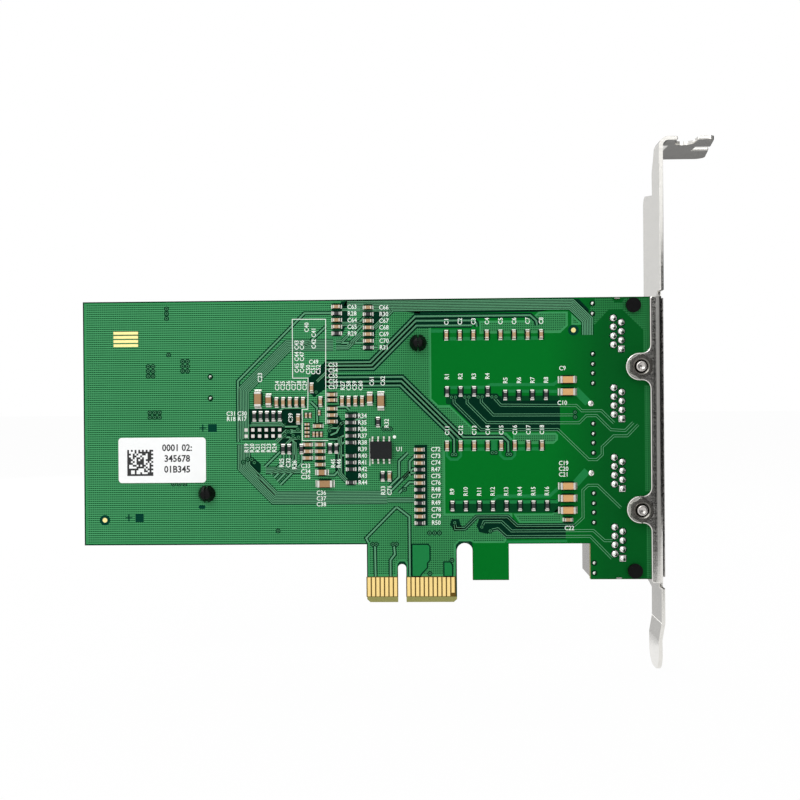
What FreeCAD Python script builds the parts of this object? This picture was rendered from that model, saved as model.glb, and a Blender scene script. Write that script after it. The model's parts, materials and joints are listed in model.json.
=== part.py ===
import FreeCAD, Part
import math
import os

from FreeCAD import Vector

# Network card: PCI Express x1, four RJ45 ports, full-height bracket. All sizes in millimetres.
# +X runs along the card to the bracket, +Y from the solder side to the component side, +Z up.
# The origin is the middle of the key notch, at the finger tips and in the middle of the board.
# Fingers and hook count from the key. What lies elsewhere along the card counts from the bracket's
# outer face, in the sizes and tables named FROM_BRACKET.

# Board
BOARD_THICKNESS = 1.57
BOARD_LENGTH = 129.0
BOARD_FROM_BRACKET = 2.4
BOARD_TOP_Z = 68.7
BOARD_EDGE_Z = 13.2
KEY_WIDTH = 1.9
KEY_TOP_Z = 8.7
HOOK_SLOT_WIDTH = 3.6
HOOK_SLOT_TOP_Z = 13.4
HOOK_WIDTH = 8.15
HOOK_BOTTOM_Z = 5.0
LOBE_BEYOND_JACK = 0.2
LOBE_BOTTOM_Z = 5.1
BEVEL_HEIGHT = 1.3
BEVEL_DEPTH = 0.45
FINGER_CORNER_CUT = 0.7

# Edge contacts
CONTACT_PITCH = 1.0
CONTACT_WIDTH = 0.7
CONTACT_BOTTOM_Z = 1.4
CONTACT_TOP_Z = 5.7
FIRST_CONTACT_BOTTOM_Z = 2.2
CONTACT_FROM_KEY = 1.5
CONTACTS_LEFT = 7
CONTACTS_RIGHT = 11
CONTACT_EDGE_MARGIN_LEFT = 0.45
CONTACT_EDGE_MARGIN_RIGHT = 0.9
GOLD_THICKNESS = 0.05

# Gold marks and tinned pads
TEST_BARS_FROM_BRACKET = 124.4
TEST_BAR_LENGTH = 5.65
TEST_BAR_WIDTH = 0.65
TEST_BAR_PITCH = 0.94
TEST_BAR_TOP_Z = 61.55
TEST_BARS = 4
FIDUCIAL_RADIUS = 0.55
FIDUCIAL_SIDES = 12
FIDUCIALS_FROM_BRACKET = ((126.7, 18.95), (19.95, 61.3))
PAD_SIZE = 0.75
PAD_COLUMN_PITCH = 1.53
PAD_ROW_PITCH = 1.4
PADS_FROM_BRACKET = 94.2
PAD_FIRST_Z = 39.3
PAD_COLUMNS = 6
PAD_ROWS = 2

# Bracket sheet
SHEET = 0.86
BRACKET_OUTER_X = 59.0
BRACKET_TOP_Z = 104.35
BRACKET_HEIGHT = 120.02
PLATE_NEAR_Y = -2.6
PLATE_WIDTH = 18.42
PLATE_BOTTOM_Z = 3.2
SHOULDER_Z = 92.6
SHOULDER_RISE = 1.6
SHOULDER_RADIUS = 2.2
NECK_WIDTH = 8.3
NECK_ROOT_WIDTH = 6.0
NECK_TAPER = 4.5
BEND_INNER_RADIUS = 1.34
TAB_LENGTH = 11.43
TAB_SLANT = 2.8
TAB_WIDTH = 20.4
TAB_NEAR_RADIUS = 1.2
TAB_FAR_RADIUS = 2.2
TAB_RELIEF = 0.9
SCREW_NOTCH_RADIUS = 2.25
SCREW_NOTCH_FROM_PLATE = 5.65
SCREW_NOTCH_DEPTH = 5.6
END_NOTCH_WIDTH = 3.6
END_NOTCH_DEPTH = 3.4
END_NOTCH_FROM_EDGE = 7.7
TONGUE_NEAR_INSET = 0.7
TONGUE_WIDTH = 10.9
TONGUE_TAPER = 1.6
TONGUE_TIP_RADIUS = 4.2
JOGGLE_DEPTH = 0.7
JOGGLE_TOP_Z = -4.6
JOGGLE_BOTTOM_Z = -8.6

# Bracket flange on the board
FLANGE_WIDTH = 2.95
FLANGE_TOP_Z = 68.8
FLANGE_BOTTOM_Z = 4.3
FLANGE_END_RADIUS = 0.7
FLANGE_RELIEF = 1.1
EAR_SCREW_FROM_BRACKET = 5.3
EAR_FROM_PORT_CENTRE = 7.5
EAR_RADIUS = 3.1
EAR_FILLET = 1.8

# Bracket screws and nuts
SCREW_RADIUS = 1.25
SCREW_CLEARANCE = 0.12
SCREW_HEAD_RADIUS = 2.2
SCREW_HEAD_HEIGHT = 1.35
SCREW_HEAD_FIT = 0.2
SCREW_SHOW = 0.35
NUT_ACROSS_FLATS = 5.0
NUT_HEIGHT = 1.9
THREAD_FIT = 0.03
TURNED_SIDES = 16

# Jack: four ports side by side
PORTS = 4
PORT_PITCH = 15.7
JACK_CENTRE_Z = 36.9
JACK_END_MARGIN = 0.2
JACK_LENGTH = 16.9
JACK_PROUD = 0.6
JACK_TOP_Y = 14.2
JACK_STANDOFF = 0.2
SHIELD_SHEET = 0.25
SHIELD_FIT = 0.08
WINDOW_FIT = 0.25
SHIELD_CORNER = 0.5
SHIELD_WINDOW_WIDTH = 14.9
SHIELD_WINDOW_BOTTOM_Y = 1.9
SHIELD_WINDOW_TOP_Y = 13.7
SHIELD_LEG_WIDTH = 1.2
SHIELD_LEG_SHOW = 0.5
SIDE_LEG_FROM_FRONT = 10.8
CAVITY_WIDTH = 11.9
CAVITY_FLOOR_Y = 2.7
CAVITY_HEIGHT = 7.2
CAVITY_DEPTH = 12.3
LATCH_WIDTH = 6.3
LATCH_HEIGHT = 1.5
LATCH_TIP_WIDTH = 3.6
LATCH_TIP_HEIGHT = 1.1
LATCH_DEPTH = 9.0
PEG_RADIUS = 1.65
PEG_SHOW = 0.9
PEG_FROM_FRONT = 7.15
PEG_FROM_END = 1.7
HOLE_FIT = 0.06

# Jack contacts
WIRE_PITCH = 1.0
WIRES_PER_PORT = 8
WIRE_THICKNESS = 0.3
WIRE_WIDTH = 0.4
TAIL_ROWS_FROM_FRONT = (11.6, 9.85)
WIRE_LIFT = 0.15
WIRE_BEND_FROM_FRONT = 2.4
WIRE_END_FROM_FRONT = 8.4
WIRE_RISE = 2.2
PIT_MARGIN = 0.5

# Jack lights
LIGHT_OFFSET = 5.68
LIGHT_WIDTH = 2.9
LIGHT_HEIGHT = 2.2
LIGHT_DEPTH = 4.5
LIGHT_TOP_Y = 13.45
LIGHT_FIT = 0.05
LEAD_SIZE = 0.45
LEAD_SPREAD = 2.27
LEAD_FIT = 0.1

# Solder joints
PIN_HOLE_FIT = 0.1
JOINT_BASE_RADIUS = 0.75
JOINT_TOP_RADIUS = 0.3
JOINT_HEIGHT = 0.8
JOINT_SIDES = 6

# Controller, thermal pad and heat sink
CHIP_FROM_BRACKET = 79.1
CHIP_Z = 41.8
CHIP_SIZE = 19.0
CHIP_BASE_HEIGHT = 0.6
CHIP_CAP_SIZE = 16.5
CHIP_CAP_HEIGHT = 1.2
CHIP_CAP_CHAMFER = 0.4
THERMAL_PAD_SIZE = 16.0
THERMAL_PAD_THICKNESS = 0.3
SINK_SIZE = 38.0
SINK_BASE = 2.4
SINK_FIN_HEIGHT = 7.2
SINK_FIN_THICKNESS = 1.1
SINK_FINS = 10
SINK_CROSS_CUT = 2.0
SINK_EAR_WIDTH = 7.2
SINK_EAR_THICKNESS = 2.0

# Push pins and springs
PUSH_PIN_BEYOND_SINK = 5.12
PUSH_PIN_IN_FROM_SINK = 2.08
PUSH_PIN_RADIUS = 1.5
PUSH_PIN_FIT = 0.1
PUSH_PIN_BARB_RADIUS = 1.95
PUSH_PIN_TIP_RADIUS = 1.0
PUSH_PIN_SHOW = 2.6
PUSH_PIN_BARB_STEP = 0.25
PUSH_PIN_SPLIT = 0.5
PUSH_PIN_SPLIT_DEPTH = 4.0
PUSH_PIN_HEAD_RADIUS = 3.0
PUSH_PIN_HEAD_HEIGHT = 1.2
SPRING_LENGTH = 4.4
SPRING_RADIUS = 2.2
SPRING_WIRE = 0.5
SPRING_TURNS = 4.5
SPRING_STEPS_PER_TURN = 7
SPRING_WIRE_SIDES = 5

# Line transformers
TRANSFORMER_FROM_BRACKET = 37.95
TRANSFORMER_Z = (53.9, 28.6)
TRANSFORMER_LENGTH = 26.4
TRANSFORMER_BODY = 10.6
TRANSFORMER_HEIGHT = 4.4
TRANSFORMER_DRAFT = 0.35
TRANSFORMER_LEADS = 24
TRANSFORMER_LEAD_PITCH = 1.016
TRANSFORMER_LEAD_WIDTH = 0.45
TRANSFORMER_LEAD_SPAN = 13.2
TRANSFORMER_LEAD_UNDER = 0.8
TRANSFORMER_LEAD_THICKNESS = 0.25

# Memory chip
MEMORY_FROM_BRACKET = 63.55
MEMORY_Z = 34.55
MEMORY_LENGTH = 4.9
MEMORY_BODY = 3.9
MEMORY_HEIGHT = 1.45
MEMORY_LIFT = 0.12
MEMORY_LEADS = 4
MEMORY_LEAD_PITCH = 1.27
MEMORY_LEAD_WIDTH = 0.42
MEMORY_LEAD_SPAN = 6.2
LEAD_THICKNESS = 0.2
LEAD_SHOULDER = 0.35

# Crystal
CRYSTAL_FROM_SINK = 1.87
CRYSTAL_Z = 49.0
CRYSTAL_LENGTH = 11.05
CRYSTAL_WIDTH = 4.65
CRYSTAL_HEIGHT = 3.5
CRYSTAL_RIM = 0.35
CRYSTAL_RIM_HEIGHT = 0.45
CRYSTAL_PIN_SPREAD = 4.88
CRYSTAL_PIN_SIZE = 0.45

# Voltage regulators and inductor
REGULATORS_FROM_BRACKET = ((116.5, 52.6), (110.4, 30.0))
REGULATOR_LENGTH = 6.5
REGULATOR_BODY = 3.5
REGULATOR_HEIGHT = 1.6
REGULATOR_SPAN = 7.0
REGULATOR_LEAD_PITCH = 2.3
REGULATOR_LEAD_WIDTH = 0.7
REGULATOR_TAB_WIDTH = 3.0
INDUCTOR_FROM_BRACKET = 120.5
INDUCTOR_Z = 36.5
INDUCTOR_SIZE = 7.0
INDUCTOR_HEIGHT = 3.2
INDUCTOR_CHAMFER = 1.2
INDUCTOR_FOOT_WIDTH = 2.6
INDUCTOR_FOOT = 0.4

# Chip parts: length, width and height, and for the larger ones the length of an end cap
SMALL_CAPACITOR = (1.6, 0.8, 0.75)
SMALL_RESISTOR = (1.6, 0.8, 0.45)
MEDIUM_CAPACITOR = (2.2, 1.25, 1.0, 0.45)
LARGE_CAPACITOR = (3.4, 1.55, 1.2, 0.55)
CAP_WRAP = 0.04

# Where the solder side's chip parts lie: the kinds in a row, how far the first lies from the bracket's
# outer face, its z, and the step.
# C is a small capacitor, R a small resistor, M and L are larger capacitors, and a space is left bare.
# Parts of a row stand upright and step along +X; parts of a column lie flat and step along -Z.
ROWS_FROM_BRACKET = (
    ("CCCCCCCC", 48.6, 60.4, 3.05),
    ("RRRR", 48.5, 47.7, 3.05),
    ("RRRR", 35.4, 46.8, 3.05),
    ("CCCCCCCC", 48.6, 35.4, 3.05),
    ("RRRRRRRR", 47.5, 21.8, 3.05),
    ("L", 91.4, 46.3, 0),
    ("M", 89, 46.0, 0),
    ("CCCCC", 87.2, 45.5, 1.51),
    ("CCCC", 72.3, 45.7, 1.51),
    ("M", 66, 46.2, 0),
    ("L", 63.5, 45.7, 0),
    ("C", 79.2, 48.75, 0),
    ("C", 77.2, 45.6, 0),
    ("C", 82.3, 41.7, 0),
    ("RRRRR", 92.3, 42.4, 1.45),
    ("RR R", 85.8, 34.9, 1.4),
    ("RR", 75.1, 35.0, 1.4),
    ("R", 64.2, 40.9, 0),
    ("RC", 63.2, 28.6, 1.5),
)
COLUMNS_FROM_BRACKET = (
    ("LL", 21.4, 50.15, 2.75),
    ("LLL", 21.5, 26.2, 2.72),
    ("C", 21.5, 18.6, 0),
    ("CCCRCCRCRCCR", 54.9, 34.6, 1.51),
    ("CRCCR", 73.4, 67.1, 1.51),
    ("CRCCCCR", 66.25, 66.85, 1.51),
    ("RRRRR RRR R", 70.4, 42.35, 1.51),
    ("CC", 74.6, 47.2, 1.25),
    ("CCC", 74.6, 44.0, 1.45),
    ("C", 77.8, 40.1, 0),
    ("CCC", 80.2, 35.9, 1.51),
    ("CCCC", 77.4, 35.9, 1.51),
    ("M", 77, 29.6, 0),
    ("L", 76.3, 27.0, 0),
)

# The component side's bulk capacitors, by the regulators, in columns of the same form
BULK_COLUMNS_FROM_BRACKET = (
    ("LLL", 125.5, 54.5, 3.0),
    ("LL", 109.6, 20.6, 3.0),
    ("MMM", 119.5, 22.0, 2.2),
)

# Identity label
LABEL_FROM_BRACKET = 123.45
LABEL_BOTTOM_Z = 27.4
LABEL_LENGTH = 20.0
LABEL_WIDTH = 10.3
LABEL_RADIUS = 0.8
LABEL_THICKNESS = 0.1

# Places that follow from the sizes above
BOARD_RIGHT_X = BRACKET_OUTER_X - BOARD_FROM_BRACKET
BOARD_LEFT_X = BOARD_RIGHT_X - BOARD_LENGTH
SOLDER_Y = -BOARD_THICKNESS / 2
PARTS_Y = BOARD_THICKNESS / 2
FINGERS_LEFT_X = -(CONTACT_FROM_KEY + (CONTACTS_LEFT - 1) * CONTACT_PITCH + CONTACT_EDGE_MARGIN_LEFT)
FINGERS_RIGHT_X = CONTACT_FROM_KEY + (CONTACTS_RIGHT - 1) * CONTACT_PITCH + CONTACT_EDGE_MARGIN_RIGHT
HOOK_LEFT_X = FINGERS_RIGHT_X + HOOK_SLOT_WIDTH
HOOK_RIGHT_X = HOOK_LEFT_X + HOOK_WIDTH
BRACKET_INNER_X = BRACKET_OUTER_X - SHEET
PLATE_FAR_Y = PLATE_NEAR_Y + PLATE_WIDTH
BEND_OUTER_RADIUS = BEND_INNER_RADIUS + SHEET
FLANGE_FREE_X = BRACKET_OUTER_X - FLANGE_WIDTH
EAR_SCREW_X = BRACKET_OUTER_X - EAR_SCREW_FROM_BRACKET
FLANGE_FACE_Y = SOLDER_Y - SHEET
FLANGE_BEND_X = BRACKET_OUTER_X - BEND_OUTER_RADIUS
FLANGE_BEND_Y = FLANGE_FACE_Y + BEND_OUTER_RADIUS
TAB_BEND_X = BRACKET_OUTER_X + BEND_INNER_RADIUS
TAB_BEND_Z = BRACKET_TOP_Z - BEND_OUTER_RADIUS
JACK_FRONT_X = BRACKET_OUTER_X + JACK_PROUD
JACK_REAR_X = JACK_FRONT_X - JACK_LENGTH
SIDE_LEG_X = JACK_FRONT_X - SIDE_LEG_FROM_FRONT
PEG_X = JACK_FRONT_X - PEG_FROM_FRONT
TAIL_ROW_X = [JACK_FRONT_X - distance for distance in TAIL_ROWS_FROM_FRONT]
WIRE_FRONT_X = JACK_FRONT_X - WIRE_BEND_FROM_FRONT
WIRE_FREE_X = JACK_FRONT_X - WIRE_END_FROM_FRONT
LOBE_LEFT_X = JACK_REAR_X - LOBE_BEYOND_JACK
JACK_BOTTOM_Y = PARTS_Y + JACK_STANDOFF
JACK_WIDTH = PORTS * PORT_PITCH + 2 * JACK_END_MARGIN
JACK_LOW_Z = JACK_CENTRE_Z - JACK_WIDTH / 2
JACK_HIGH_Z = JACK_CENTRE_Z + JACK_WIDTH / 2
PORT_Z = [JACK_CENTRE_Z + ((PORTS - 1) / 2 - i) * PORT_PITCH for i in range(PORTS)]
PEG_Z = (JACK_HIGH_Z - PEG_FROM_END, JACK_LOW_Z + PEG_FROM_END)
EAR_SCREW_Z = (PORT_Z[0] - EAR_FROM_PORT_CENTRE, PORT_Z[-1] + EAR_FROM_PORT_CENTRE)
LEAD_X = JACK_REAR_X + SHIELD_SHEET + SHIELD_FIT + LEAD_FIT + LEAD_SIZE / 2
HOUSING_REAR_X = LEAD_X + LEAD_SIZE / 2 + LEAD_FIT
HOUSING_FRONT_X = JACK_FRONT_X - SHIELD_SHEET - SHIELD_FIT
HOUSING_TOP_Y = JACK_TOP_Y - SHIELD_SHEET - SHIELD_FIT
LIGHT_REAR_X = HOUSING_FRONT_X - LIGHT_DEPTH
LEAD_TOP_Y = LIGHT_TOP_Y - LEAD_FIT
CHIP_X = BRACKET_OUTER_X - CHIP_FROM_BRACKET
TRANSFORMER_X = BRACKET_OUTER_X - TRANSFORMER_FROM_BRACKET
MEMORY_X = BRACKET_OUTER_X - MEMORY_FROM_BRACKET
INDUCTOR_X = BRACKET_OUTER_X - INDUCTOR_FROM_BRACKET
SINK_BOTTOM_Y = PARTS_Y + CHIP_BASE_HEIGHT + CHIP_CAP_HEIGHT + THERMAL_PAD_THICKNESS
SINK_EAR_TOP_Y = SINK_BOTTOM_Y + SINK_EAR_THICKNESS
PUSH_PIN_HALF_X = SINK_SIZE / 2 + PUSH_PIN_BEYOND_SINK
PUSH_PIN_HALF_Z = SINK_SIZE / 2 - PUSH_PIN_IN_FROM_SINK
PUSH_PINS = ((CHIP_X - PUSH_PIN_HALF_X, CHIP_Z - PUSH_PIN_HALF_Z),
             (CHIP_X + PUSH_PIN_HALF_X, CHIP_Z + PUSH_PIN_HALF_Z))
CRYSTAL_X = CHIP_X - SINK_SIZE / 2 - CRYSTAL_FROM_SINK - CRYSTAL_WIDTH / 2


def box(x0, x1, y0, y1, z0, z1):
    """A block between two opposite corners."""
    return Part.makeBox(x1 - x0, y1 - y0, z1 - z0, Vector(x0, y0, z0))


def rod(radius, x, z, y0, y1):
    """A round rod through the board's thickness direction."""
    return Part.makeCylinder(radius, y1 - y0, Vector(x, y0, z), Vector(0, 1, 0))


def corner_arc(before, corner, after):
    """Start, middle and end of the arc that rounds one corner of an outline."""
    here = Vector(corner[0], corner[1], 0)
    back = (Vector(before[0], before[1], 0) - here).normalize()
    ahead = (Vector(after[0], after[1], 0) - here).normalize()
    half_angle = back.getAngle(ahead) / 2
    setback = corner[2] / math.tan(half_angle)
    inward = (back + ahead).normalize()
    middle = here + inward * (corner[2] / math.sin(half_angle) - corner[2])
    return here + back * setback, middle, here + ahead * setback


def outline_face(corners, place):
    """A face inside corners (u, v) or (u, v, radius), put into space by place."""
    full = [tuple(c) + (0,) if len(c) == 2 else tuple(c) for c in corners]
    count = len(full)
    edges = []
    starts = []
    ends = []
    for i, corner in enumerate(full):
        start = Vector(corner[0], corner[1], 0)
        end = start
        if corner[2] > 0:
            start, middle, end = corner_arc(full[i - 1], corner, full[(i + 1) % count])
            edges.append(Part.Arc(place(start), place(middle), place(end)).toShape())
        starts.append(start)
        ends.append(end)
    for i in range(count):
        following = starts[(i + 1) % count]
        if ends[i].distanceToPoint(following) > 1e-6:
            edges.append(Part.LineSegment(place(ends[i]), place(following)).toShape())
    return Part.Face(Part.Wire(Part.__sortEdges__(edges)))


def slab_xz(corners, y0, y1):
    """An outline in X and Z, thick from y0 to y1."""
    face = outline_face(corners, lambda p: Vector(p.x, y0, p.y))
    return face.extrude(Vector(0, y1 - y0, 0))


def slab_yz(corners, x0, x1):
    """An outline in Y and Z, thick from x0 to x1."""
    face = outline_face(corners, lambda p: Vector(x0, p.x, p.y))
    return face.extrude(Vector(x1 - x0, 0, 0))


def slab_xy(corners, z0, z1):
    """An outline in X and Y, thick from z0 to z1."""
    face = outline_face(corners, lambda p: Vector(p.x, p.y, z0))
    return face.extrude(Vector(0, 0, z1 - z0))


def band(path, thickness):
    """The outline of a strip of even thickness along a path of points (u, v)."""
    left = []
    right = []
    for i, (u, v) in enumerate(path):
        here = Vector(u, v, 0)
        normals = []
        for a, b in ((i - 1, i), (i, i + 1)):
            if 0 <= a and b < len(path):
                run = Vector(path[b][0] - path[a][0], path[b][1] - path[a][1], 0).normalize()
                normals.append(Vector(-run.y, run.x, 0))
        normal = normals[0]
        if len(normals) == 2:
            normal = (normals[0] + normals[1]).normalize()
            normal = normal * (1 / normal.dot(normals[0]))
        left.append(here + normal * (thickness / 2))
        right.append(here - normal * (thickness / 2))
    return [(p.x, p.y) for p in left + right[::-1]]


def stack(rings):
    """A solid through rings of points, each ring as long as the next, closed by its first and last."""
    faces = [Part.Face(Part.makePolygon(ring + ring[:1])) for ring in (rings[0], rings[-1])]
    for low, high in zip(rings, rings[1:]):
        for i in range(len(low)):
            j = (i + 1) % len(low)
            faces.append(Part.Face(Part.makePolygon([low[i], low[j], high[j], high[i], low[i]])))
    return Part.Solid(Part.Shell(faces))


def round_ring(x, z, y, radius, sides):
    """Points on a circle about the Y direction."""
    turns = [2 * math.pi * (k + 0.5) / sides for k in range(sides)]
    return [Vector(x + radius * math.cos(t), y, z + radius * math.sin(t)) for t in turns]


def turned(x, z, profile):
    """A small turned piece about the Y direction, from pairs of radius and y."""
    return stack([round_ring(x, z, y, radius, TURNED_SIDES) for radius, y in profile])


def square_ring(x, z, y, half_x, half_z):
    """The corners of a rectangle about the Y direction."""
    return [Vector(x + u * half_x, y, z + v * half_z) for u, v in ((-1, -1), (1, -1), (1, 1), (-1, 1))]


def fuse_all(shapes):
    """One solid from pieces that touch."""
    whole = shapes[0].multiFuse(shapes[1:])
    return whole.removeSplitter()


def cut_all(shape, tools):
    """The shape with every tool taken out of it."""
    return shape.cut(Part.makeCompound(tools))


# Board

def pin_places():
    """Centre and size of every square pin that passes through the board."""
    places = []
    for port_z in PORT_Z:
        for i in range(WIRES_PER_PORT):
            places.append((TAIL_ROW_X[i % 2], port_z + wire_offset(i), WIRE_THICKNESS, WIRE_WIDTH))
        for offset in light_lead_offsets():
            places.append((LEAD_X, port_z + offset, LEAD_SIZE, LEAD_SIZE))
    for side in (-1, 1):
        z = CRYSTAL_Z + side * CRYSTAL_PIN_SPREAD / 2
        places.append((CRYSTAL_X, z, CRYSTAL_PIN_SIZE, CRYSTAL_PIN_SIZE))
    return places


def shield_leg_boxes(fit):
    """The shield's solder legs, or with a fit the holes for them."""
    y0 = SOLDER_Y - (SHIELD_LEG_SHOW if fit == 0 else 1)
    y1 = JACK_BOTTOM_Y if fit == 0 else PARTS_Y + 1
    half = SHIELD_LEG_WIDTH / 2 + fit
    rear = [box(JACK_REAR_X - fit, JACK_REAR_X + SHIELD_SHEET + fit, y0, y1, z - half, z + half)
            for z in PORT_Z[1:3]]
    x0 = SIDE_LEG_X - half
    x1 = SIDE_LEG_X + half
    low = box(x0, x1, y0, y1, JACK_LOW_Z - fit, JACK_LOW_Z + SHIELD_SHEET + fit)
    high = box(x0, x1, y0, y1, JACK_HIGH_Z - SHIELD_SHEET - fit, JACK_HIGH_Z + fit)
    return rear + [low, high]


def board_corners():
    """The board's outline in X and Z, with the key notch and the slot beside the hook rounded."""
    cut = FINGER_CORNER_CUT
    return [(BOARD_LEFT_X, BOARD_TOP_Z), (BOARD_LEFT_X, BOARD_EDGE_Z),
            (FINGERS_LEFT_X, BOARD_EDGE_Z), (FINGERS_LEFT_X, cut), (FINGERS_LEFT_X + cut, 0),
            (-KEY_WIDTH / 2, 0), (-KEY_WIDTH / 2, KEY_TOP_Z, KEY_WIDTH / 2),
            (KEY_WIDTH / 2, KEY_TOP_Z, KEY_WIDTH / 2), (KEY_WIDTH / 2, 0),
            (FINGERS_RIGHT_X - cut, 0), (FINGERS_RIGHT_X, cut),
            (FINGERS_RIGHT_X, HOOK_SLOT_TOP_Z, HOOK_SLOT_WIDTH / 2),
            (HOOK_LEFT_X, HOOK_SLOT_TOP_Z, HOOK_SLOT_WIDTH / 2),
            (HOOK_LEFT_X, HOOK_BOTTOM_Z), (HOOK_RIGHT_X, HOOK_BOTTOM_Z),
            (HOOK_RIGHT_X, BOARD_EDGE_Z), (LOBE_LEFT_X, BOARD_EDGE_Z),
            (LOBE_LEFT_X, LOBE_BOTTOM_Z), (BOARD_RIGHT_X, LOBE_BOTTOM_Z),
            (BOARD_RIGHT_X, BOARD_TOP_Z)]


def circuit_board():
    board = slab_xz(board_corners(), SOLDER_Y, PARTS_Y)
    holes = []
    for x, z, size_x, size_z in pin_places():
        half_x = size_x / 2 + PIN_HOLE_FIT
        half_z = size_z / 2 + PIN_HOLE_FIT
        holes.append(box(x - half_x, x + half_x, SOLDER_Y - 1, PARTS_Y + 1, z - half_z, z + half_z))
    for z in PEG_Z:
        holes.append(rod(PEG_RADIUS + HOLE_FIT, PEG_X, z, SOLDER_Y - 1, PARTS_Y + 1))
    for z in EAR_SCREW_Z:
        holes.append(rod(SCREW_RADIUS + SCREW_CLEARANCE, EAR_SCREW_X, z, SOLDER_Y - 1, PARTS_Y + 1))
    for x, z in PUSH_PINS:
        holes.append(rod(PUSH_PIN_RADIUS + PUSH_PIN_FIT, x, z, SOLDER_Y - 1, PARTS_Y + 1))
    holes += shield_leg_boxes(PIN_HOLE_FIT)
    for side in (-1, 1):
        face = side * BOARD_THICKNESS / 2
        deep = face - side * BEVEL_DEPTH
        beyond = face + side
        wedge = [(face, BEVEL_HEIGHT), (deep, 0), (deep, -1), (beyond, -1), (beyond, BEVEL_HEIGHT)]
        holes.append(slab_yz(wedge, FINGERS_LEFT_X - 1, FINGERS_RIGHT_X + 1))
    return cut_all(board, holes)


def contact_columns():
    """Middle and lower end of each edge contact."""
    columns = []
    for i in range(CONTACTS_LEFT):
        columns.append((-CONTACT_FROM_KEY - i * CONTACT_PITCH, CONTACT_BOTTOM_Z))
    for i in range(CONTACTS_RIGHT):
        last = i == CONTACTS_RIGHT - 1
        bottom = FIRST_CONTACT_BOTTOM_Z if last else CONTACT_BOTTOM_Z
        columns.append((CONTACT_FROM_KEY + i * CONTACT_PITCH, bottom))
    return columns


def edge_contacts(y0, y1):
    half = CONTACT_WIDTH / 2
    return [box(x - half, x + half, y0, y1, bottom, CONTACT_TOP_Z) for x, bottom in contact_columns()]


def gold_marks():
    y0 = SOLDER_Y - GOLD_THICKNESS
    marks = []
    left = BRACKET_OUTER_X - TEST_BARS_FROM_BRACKET
    for i in range(TEST_BARS):
        z = TEST_BAR_TOP_Z - i * TEST_BAR_PITCH
        marks.append(box(left, left + TEST_BAR_LENGTH, y0, SOLDER_Y,
                         z - TEST_BAR_WIDTH / 2, z + TEST_BAR_WIDTH / 2))
    for distance, z in FIDUCIALS_FROM_BRACKET:
        x = BRACKET_OUTER_X - distance
        marks.append(stack([round_ring(x, z, y, FIDUCIAL_RADIUS, FIDUCIAL_SIDES) for y in (y0, SOLDER_Y)]))
    return marks


def bare_pads():
    """Two rows of tinned pads with no part on them."""
    half = PAD_SIZE / 2
    pads = []
    for row in range(PAD_ROWS):
        for column in range(PAD_COLUMNS):
            x = BRACKET_OUTER_X - PADS_FROM_BRACKET + column * PAD_COLUMN_PITCH
            z = PAD_FIRST_Z - row * PAD_ROW_PITCH
            pads.append(box(x - half, x + half, SOLDER_Y - GOLD_THICKNESS, SOLDER_Y, z - half, z + half))
    return pads


# Bracket

def quarter_bend(place, inner, outer):
    """A quarter ring between two radii; place puts (u, v) from the bend's centre into space."""
    half = math.sqrt(0.5)
    edges = [Part.Arc(place(inner, 0), place(inner * half, inner * half), place(0, inner)).toShape(),
             Part.LineSegment(place(0, inner), place(0, outer)).toShape(),
             Part.Arc(place(0, outer), place(outer * half, outer * half), place(outer, 0)).toShape(),
             Part.LineSegment(place(outer, 0), place(inner, 0)).toShape()]
    return Part.Face(Part.Wire(edges))


def bracket_plate():
    near = PLATE_NEAR_Y
    far = PLATE_FAR_Y
    neck = near + NECK_WIDTH
    root = near + NECK_ROOT_WIDTH
    tongue_near = near + TONGUE_NEAR_INSET
    tongue_far = tongue_near + TONGUE_WIDTH
    relief_top = FLANGE_TOP_Z + FLANGE_RELIEF
    relief_bottom = FLANGE_BOTTOM_Z - FLANGE_RELIEF
    corners = [(near, TAB_BEND_Z), (near, relief_top), (FLANGE_BEND_Y, relief_top),
               (FLANGE_BEND_Y, relief_bottom), (tongue_near, relief_bottom),
               (tongue_near, JOGGLE_TOP_Z), (tongue_far, JOGGLE_TOP_Z),
               (tongue_far, PLATE_BOTTOM_Z - TONGUE_TAPER), (far, PLATE_BOTTOM_Z, SHOULDER_RADIUS / 2),
               (far, SHOULDER_Z + SHOULDER_RISE, SHOULDER_RADIUS), (neck, SHOULDER_Z),
               (neck, TAB_BEND_Z - NECK_TAPER, SHOULDER_RADIUS), (root, TAB_BEND_Z)]
    plate = slab_yz(corners, BRACKET_INNER_X, BRACKET_OUTER_X)
    fit = WINDOW_FIT
    window = box(BRACKET_INNER_X - 1, BRACKET_OUTER_X + 1, JACK_BOTTOM_Y - fit, JACK_TOP_Y + fit,
                 JACK_LOW_Z - fit, JACK_HIGH_Z + fit)
    return plate.cut(window)


def bracket_tongue():
    """The joggled lower end, cut to its rounded outline."""
    near = PLATE_NEAR_Y + TONGUE_NEAR_INSET
    far = near + TONGUE_WIDTH
    tip = BRACKET_TOP_Z - BRACKET_HEIGHT
    middle_x = (BRACKET_INNER_X + BRACKET_OUTER_X) / 2
    path = [(middle_x, JOGGLE_TOP_Z + 2), (middle_x, JOGGLE_TOP_Z),
            (middle_x - JOGGLE_DEPTH, JOGGLE_BOTTOM_Z), (middle_x - JOGGLE_DEPTH, tip - 1)]
    strip = slab_xz(band(path, SHEET), near - 1, far + 1)
    outline = [(near, JOGGLE_TOP_Z), (near, tip, TONGUE_TIP_RADIUS), (far, tip, TONGUE_TIP_RADIUS),
               (far, JOGGLE_TOP_Z)]
    return strip.common(slab_yz(outline, BRACKET_INNER_X - 2, BRACKET_OUTER_X + 2))


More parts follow.
